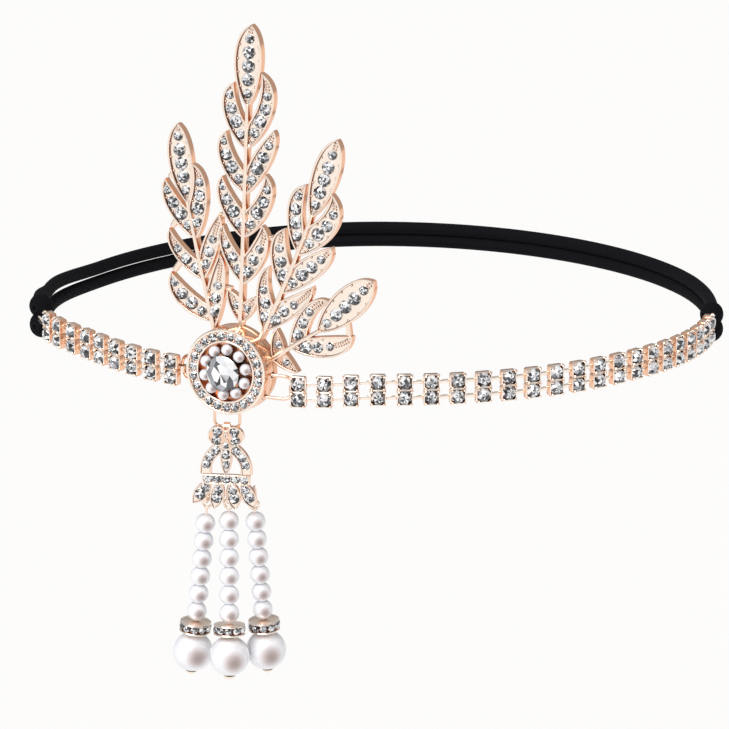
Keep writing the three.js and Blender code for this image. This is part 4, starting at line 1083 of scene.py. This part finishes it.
def leaf_stones(made, leaf, outer, inner, start):
    """Stones down the middle of a leaf, as wide as it allows, with grains between and past them."""
    middle = [near.lerp(far, 0.5) for near, far in zip(outer, inner)]
    widths = [(near - far).length for near, far in zip(outer, inner)]
    lengths = [0.0]
    for i in range(1, len(middle)):
        lengths.append(lengths[-1] + (middle[i] - middle[i - 1]).length)

    def at(run):
        run = min(max(run, 0.0), lengths[-1])
        k = next((i for i in range(1, len(lengths)) if lengths[i] >= run), len(lengths) - 1)
        share = (run - lengths[k - 1]) / max(lengths[k] - lengths[k - 1], 1e-6)
        across = across_of((middle[k] - middle[k - 1]).normalized())
        width = widths[k - 1] + (widths[k] - widths[k - 1]) * share
        return middle[k - 1].lerp(middle[k], share), width, across

    def grains(run, aside, size):
        place, width, across = at(run)
        reach = min(aside, max(width / 2 - LEAF_RIM - GRAIN * 0.3, 0.0))
        for side in ((-1, 1) if reach > GRAIN * 0.6 else (0,)):
            seat = place + across * side * reach
            set_grain(made, seat.x, seat.y, LEAF_FLOOR + LEAF_GRAIN_LIFT, size)

    first = start * lengths[-1]
    sizes = LEAF_STONES[leaf["stones"]]
    for i, size in enumerate(sizes):
        run = first + i * LEAF_STONE_PITCH
        place, width, across = at(run)
        diameter = max(min(width - LEAF_RIM * 1.3, size), LEAST_STONE)
        set_stone(made, place.x, place.y, LEAF_FLOOR + LEAF_STONE_LIFT, diameter, diameter * 0.2 + 0.1)
        if i:
            grains(run - LEAF_STONE_PITCH / 2, WIDE_GRAINS, 1.0)
    tail = first + (len(sizes) - 1) * LEAF_STONE_PITCH + sizes[-1] / 2 + TAIL_START
    while tail < lengths[-1] and at(tail)[1] > TAIL_ROOM:
        grains(tail, CLOSE_GRAINS, FINE_GRAIN)
        tail += TAIL_STEP
    head = first - sizes[0] / 2 - HEAD_START
    while head > 0 and at(head)[1] > HEAD_ROOM:
        grains(head, WIDE_GRAINS, FINE_GRAIN)
        head -= HEAD_STEP


def path_across(path, i):
    """The direction across a path at one of its points."""
    return across_of((path[min(i + 1, len(path) - 1)] - path[max(i - 1, 0)]).normalized())


def ridge(path, width_low, width_high, front, back):
    """A stem: upright walls with a rounded top, narrowing along its length."""
    rings = []
    for i, point in enumerate(path):
        half = (width_low + (width_high - width_low) * i / (len(path) - 1)) / 2
        across = path_across(path, i) * half
        rise = ((1, back), (1, front - 0.3), (0.85, front - 0.12), (0.4, front))
        steps = [(-share, height) for share, height in rise] + list(rise[::-1])
        rings.append([(*(point + across * share), height) for share, height in steps])
    corners, faces = loft(rings)
    # Painted shade on the walls and back, the top painted lit.
    around = [TONE_WALL] + [TONE_LIGHT] * 5 + [TONE_WALL, TONE_BACK]
    tones = [around[i % 8] for i in range(len(faces) - 2)] + [TONE_WALL, TONE_WALL]
    return Shape().add(corners, faces, GOLD, tones)


def spray():
    made = Shape()
    stones = Shape()
    shares = [i / LEAF_STATIONS for i in range(LEAF_STATIONS + 1)]
    leaves = [(side_leaf, dict(zip(LEAF_COLUMNS, row))) for row in LEAVES]
    leaves += [(end_leaf, dict(zip(END_LEAF_COLUMNS, row))) for row in END_LEAVES]
    for edges_of, leaf in leaves:
        outer, inner = edges_of(leaf, shares)
        kind = "end" if edges_of is end_leaf else "only" if leaf["stones"] == 1 else "side"
        made.place(rimmed(outer, inner, LEAF_RIM, SPRAY_FRONT, LEAF_FLOOR, SPRAY_BACK))
        leaf_stones(stones, leaf, outer, inner, FIRST_STONE[kind])
    for name in STEMS:
        path = [stem_point(name, i / 16) for i in range(17)]
        made.place(ridge(path, STEM_WIDTH, STEM_WIDTH * 0.75, SPRAY_FRONT + STEM_RAISE, SPRAY_BACK))
    for start, end in BRIDGES:
        path = [spot(start).lerp(spot(end), i / 2) for i in range(3)]
        made.place(ridge(path, BRIDGE_WIDTH, BRIDGE_WIDTH, LEAF_FLOOR, SPRAY_BACK))
    side, edge = SPRAY_DISC / 2, DISC_EDGE
    disc = [(AXIS, SPRAY_BACK), (side - edge, SPRAY_BACK), (side, SPRAY_BACK + edge),
            (side, SPRAY_FRONT - edge), (side - edge, SPRAY_FRONT), (AXIS, SPRAY_FRONT)]
    # The disc behind the leaves is painted in shade.
    made.place(turned(disc, 72, [TONE_BACK, 0.3, 0.3, 0.3, 0.3]))
    at = medallion_at @ turn("Z", -SPRAY_ROLL)
    piece("leaf_spray_rims", made, "headband", ["leaf_spray"], at)
    piece("leaf_spray_stones", stones, "headband", (), at)


# Drop
PLATE_STONE_LIFT = 0.3
# Stones: how far outward and up, or how far along, then the diameter
LOBE_STONES = ((0.1, 1.12, 2.5), (0.35, -1.08, 2.4))
ARCH_TOP = (0.9, -2.2)
ARCH_BELLY = (-0.6, 1.0)
ARCH_FOOT = (-0.9, 0.2)
ARCH_STONE = 2.3
ARCH_STONES = (0.2, 0.46, 0.72)
MIDDLE_LEAF_STONES = ((0.2, 1.7), (0.44, 2.4), (0.7, 2.1))
PETAL_STONES = ((0.3, 2.3), (0.6, 2.7))
BAR_STONE = 2.35
BAR_STONES = 5
BAR_STONE_PITCH = PLATE_BAR_WIDTH / 5.25
RONDELLE_STONE = 1.95
RONDELLE_STONES = 10
RONDELLE_CORE = 0.85
RONDELLE_TURN = 12
drop_at = medallion_at @ move(LINK_SHIFT, LINK_TOP, WIRE_DEPTH) @ turn("Y", LINK_YAW)
hanging_at = drop_at @ move(0, -LINK_LENGTH) @ turn("Y", DROP_YAW - LINK_YAW)


def drop_link():
    made = wire_loop(LINK_WIDTH, LINK_LENGTH, LINK_CORNER, LINK_CORNER, LINK_WIRE)
    piece("drop_link_wire", made, "link", ["drop_link"], drop_at @ move(0, -LINK_LENGTH / 2))


def petal_edges(base, tip, width, shares):
    reach = width / 2 / (tip - base).length
    left = [belly_edge(base, tip, reach, PETAL_FULLNESS, t) for t in shares]
    right = [belly_edge(base, tip, -reach, PETAL_FULLNESS, t) for t in shares]
    return left, right


def ribbon_edges(path, width):
    left, right = [], []
    for i, point in enumerate(path):
        across = path_across(path, i) * (width / 2)
        left.append(point + across)
        right.append(point - across)
    return left, right


def plate_stone(stones, place, diameter, lift=0.0):
    crown = diameter * 0.22 + 0.06
    set_stone(stones, place.x, place.y, PLATE_FLOOR + PLATE_STONE_LIFT + lift, diameter, crown)


def drop_plate():
    made = Shape()
    stones = Shape()
    shares = [i / 12 for i in range(13)]
    front, floor, back = PLATE_FRONT, PLATE_FLOOR, PLATE_BACK
    outer, rim, half = LOBE_RADIUS, LOBE_RADIUS - PLATE_RIM, PLATE_BAR_WIDTH / 2
    profile = [(AXIS, back), (outer, back), (outer, front - 0.12), (outer - 0.1, front),
               (rim + 0.06, front), (rim, front - 0.1), (rim, floor), (AXIS, floor)]
    # Painted shade on the lobe's outer and inner walls and back; its rim painted lit.
    lobe = turned(profile, 40, [TONE_BACK, 0.3, 1.0, 1.0, 0.9, 0.5, 0.6])
    for side in (-1, 1):
        place = Vector((side * LOBE_SPACING / 2, LOBE_DROP))
        made.place(lobe, move(place.x, place.y))
        for aside, up, size in LOBE_STONES:
            plate_stone(stones, place + Vector((side * aside, up)), size)
        top = Vector((side * ARCH_TOP[0], MIDDLE_LEAF_TOP + ARCH_TOP[1]))
        foot = Vector((side * (half + ARCH_FOOT[0]), PLATE_BAR_TOP + ARCH_FOOT[1]))
        belly = Vector((side * (half + ARCH_BELLY[0]), (top.y + foot.y) / 2 + ARCH_BELLY[1]))
        path = [quadratic(top, belly, foot, t) for t in shares]
        made.place(rimmed(*ribbon_edges(path, ARCH_WIDTH), PLATE_RIM, front, floor, back))
        for share in ARCH_STONES:
            plate_stone(stones, quadratic(top, belly, foot, share), ARCH_STONE)
    leaf_top = Vector((0.15, MIDDLE_LEAF_TOP))
    leaf_foot = Vector((0, PLATE_BAR_TOP - 0.3))
    edges = petal_edges(leaf_top, leaf_foot, MIDDLE_LEAF_WIDTH, shares)
    made.place(rimmed(*edges, PLATE_RIM, front + 0.15, floor + 0.15, back))
    for share, size in MIDDLE_LEAF_STONES:
        plate_stone(stones, leaf_top.lerp(leaf_foot, share), size, 0.15)
    # Painted shade on the bar's sides and back, its front painted lit.
    bar = rounded_box(PLATE_BAR_WIDTH, PLATE_BAR_HEIGHT, front - back, 0.15, (0.7, 0.4, TONE_BACK))
    middle = PLATE_BAR_TOP - PLATE_BAR_HEIGHT / 2
    made.place(bar, move(0, middle, (front + back) / 2 - 0.3))
    for edge in (-1, 1):
        lip = rounded_box(PLATE_BAR_WIDTH, 0.3, 0.6, 0.08)
        made.place(lip, move(0, middle + edge * (PLATE_BAR_HEIGHT / 2 - 0.15), front - 0.3))
    for i in range(BAR_STONES):
        x = (i - (BAR_STONES - 1) / 2) * BAR_STONE_PITCH
        set_stone(stones, x, middle, front - 0.25, BAR_STONE, 0.55)
    bottom = PLATE_BAR_TOP - PLATE_BAR_HEIGHT
    for place, angle in PETALS:
        base = Vector((place * PLATE_BAR_WIDTH * PETAL_SPREAD, bottom + PETAL_SINK))
        lean = math.radians(angle)
        tip = base + Vector((math.sin(lean), -math.cos(lean))) * PETAL_LENGTH
        made.place(rimmed(*petal_edges(base, tip, PETAL_WIDTH, shares), PLATE_RIM, front, floor, back))
        for share, size in PETAL_STONES:
            plate_stone(stones, base.lerp(tip, share), size)
    made.place(hoop(LINK_WIRE / 2 + SLOT_CLEARANCE, BAIL_WALL, BAIL_WIDTH, 24), turn("Y", 90))
    for spec in STRANDS.values():
        x = STRAND_SHIFT + spec["top"] * STRAND_SPREAD_TOP
        y = STRAND_TOP + STRAND_EYE + LUG_RADIUS - STRAND_WIRE - BORE_CLEARANCE
        made.place(torus(LUG_RADIUS, STRAND_WIRE / 2), move(x, y, STRAND_DEPTH_TOP) @ turn("Y", 90))
    piece("drop_plate_rims", made, "drop", ["drop_plate"], hanging_at)
    piece("drop_plate_stones", stones, "drop", (), hanging_at)


def torus(radius, wire):
    return tube([Vector((x, y, 0)) for x, y in circle(radius, 32)], wire, 12, closed=True)


def strand_places(neck):
    """Where the first pearl, the rondelle, the large pearl and the cap lie below the eye."""
    first = -(STRAND_EYE + STRAND_WIRE / 2 + neck * STRAND_NECK + STRAND_PITCH / 2)
    last = first - (STRAND_PEARLS - 1) * STRAND_PITCH
    rondelle_at = last - STRAND_PITCH / 2 - GAP - RONDELLE_HEIGHT / 2
    pearl_at = rondelle_at - RONDELLE_HEIGHT / 2 - GAP - DROP_PEARL / 2
    return first, rondelle_at, pearl_at, pearl_at - DROP_PEARL / 2 - CAP_CLEARANCE


def strands():
    upright = turn("X", 90)
    for name, spec in STRANDS.items():
        first, rondelle_at, pearl_at, cap_at = strand_places(spec["neck"])
        length = -pearl_at
        top = spec["top"] * STRAND_SPREAD_TOP
        slant = math.asin((spec["foot"] * STRAND_SPREAD_FOOT - top) / length)
        lean = math.asin(spec["forward"] * STRAND_LEAN / length)
        at = hanging_at @ move(STRAND_SHIFT + top, STRAND_TOP, STRAND_DEPTH_TOP)
        at = at @ Matrix.Rotation(slant, 4, "Z") @ Matrix.Rotation(-lean, 4, "X")
        string = Shape()
        bead = ball(STRAND_PEARL, 32, 24, LUSTRE)
        for i in range(STRAND_PEARLS):
            string.place(bead, move(0, first - i * STRAND_PITCH) @ upright)
        string.place(torus(STRAND_EYE, STRAND_WIRE / 2))
        pin = tube([Vector((0, -STRAND_EYE, 0)), Vector((0, cap_at + GAP, 0))], STRAND_WIRE / 2 * 0.9)
        string.place(pin)
        piece(f"strand_{name}_pearls", string, "drop", [f"strand_{name}"], at)
        at_rondelle = at @ move(0, rondelle_at) @ upright
        piece(f"rondelle_{name}_stones", rondelle(), "drop", [f"rondelle_{name}"], at_rondelle)
        large = ball(DROP_PEARL, 56, 40, LUSTRE)
        at_large = at @ move(0, pearl_at) @ upright
        piece(f"large_pearl_{name}", large, "drop", [f"drop_pearl_{name}"], at_large)
        rim, foot = CAP_DIAMETER / 2, -CAP_HEIGHT
        end = turned([(AXIS, foot), (rim * 0.56, foot), (rim * 0.72, foot * 0.75),
                      (rim * 0.88, foot * 0.5), (rim, -0.15), (rim, 0), (AXIS, 0)], 32)
        at_cap = at @ move(0, cap_at) @ turn("X", -90)
        piece(f"bead_cap_{name}", end, "drop", [f"cap_{name}"], at_cap)


def rondelle():
    """Two rose gold flanges with a ring of small stones standing between them."""
    made = Shape()
    outer = RONDELLE_DIAMETER / 2
    half = RONDELLE_HEIGHT / 2
    flange = RONDELLE_FLANGE
    core = outer - RONDELLE_CORE
    lower = [(0.35, -half), (outer * 0.8, -half), (outer - 0.1, -half + 0.12),
             (outer, -half + flange * 0.6), (outer - 0.15, -half + flange), (core, -half + flange)]
    # Painted shade: black on the core between the flanges, the flanges' faces painted lit.
    tones = [0.8, 1.0, 1.0, 1.0, 0.4, 0.0, 0.4, 1.0, 1.0, 1.0, 0.8]
    made.place(turned(lower + [(radius, -height) for radius, height in lower[::-1]], 48, tones))
    for i in range(RONDELLE_STONES):
        stone = Shape()
        set_stone(stone, 0, 0, 0.0, RONDELLE_STONE, 0.55)
        at = turn("Z", 360 * i / RONDELLE_STONES + RONDELLE_TURN) @ move(core + 0.35) @ turn("Y", 90)
        made.place(stone, at)
    return made


for chain_name, chain_spec in CHAINS.items():
    chain(chain_name, chain_spec)
elastics()
knots()
housing()
centre()
pearls()
rings()
spray()
drop_link()
drop_plate()
strands()


# Stage
FLOOR_DEPTH = -0.3
FLOOR_REACH = 30.0
WORLD_STRENGTH = 0.5
KEY_PLACE = (-0.45, -0.75, 0.95)
KEY_ANGLE = 50.0
KEY_STRENGTH = 2.4


def key_light():
    data = bpy.data.lights.new("key", "SUN")
    data.angle = math.radians(KEY_ANGLE)
    data.energy = KEY_STRENGTH
    data.color = (1.0, 0.99, 0.98)
    light = new_object("key", data)
    light.location = KEY_PLACE
    light.rotation_euler = (-Vector(KEY_PLACE)).to_track_quat("-Z", "Y").to_euler()


def studio():
    mesh = bpy.data.meshes.new("floor")
    square = ((-1, -1), (1, -1), (1, 1), (-1, 1))
    corners = [(x * FLOOR_REACH, y * FLOOR_REACH, FLOOR_DEPTH) for x, y in square]
    mesh.from_pydata(corners, [], [(0, 1, 2, 3)])
    paint = {"Base Color": (0.93, 0.93, 0.93, 1), "Roughness": 0.9, "Specular IOR Level": 0.1}
    mesh.materials.append(new_material("pale_floor", paint)[0])
    floor = new_object("floor", mesh)
    world = bpy.data.worlds.new("studio")
    world.use_nodes = True
    background = world.node_tree.nodes["Background"]
    background.inputs["Color"].default_value = (1.0, 0.995, 0.99, 1)
    background.inputs["Strength"].default_value = WORLD_STRENGTH
    bpy.context.scene.world = world
    key_light()


def camera():
    data = bpy.data.cameras.new("camera")
    made = new_object("camera", data)
    data.sensor_width = SENSOR
    data.lens = SENSOR * PICTURE_LENS / PICTURE
    lift = math.radians(CAMERA_ELEVATION)
    place = Vector((0, -math.cos(lift), math.sin(lift))) * CAMERA_DISTANCE
    up = Vector((0, math.sin(lift), math.cos(lift)))
    aside, down = [(PICTURE / 2 - pixel) * CAMERA_DISTANCE / PICTURE_LENS for pixel in ORIGIN_PIXEL]
    aim = Vector((aside, 0, 0)) - up * down
    made.location = place * MM
    made.rotation_euler = (aim - place).to_track_quat("-Z", "Y").to_euler()
    data.clip_start, data.clip_end = 0.05, 100.0
    bpy.context.scene.camera = made


studio()
camera()
bpy.context.scene.view_settings.view_transform = "Standard"
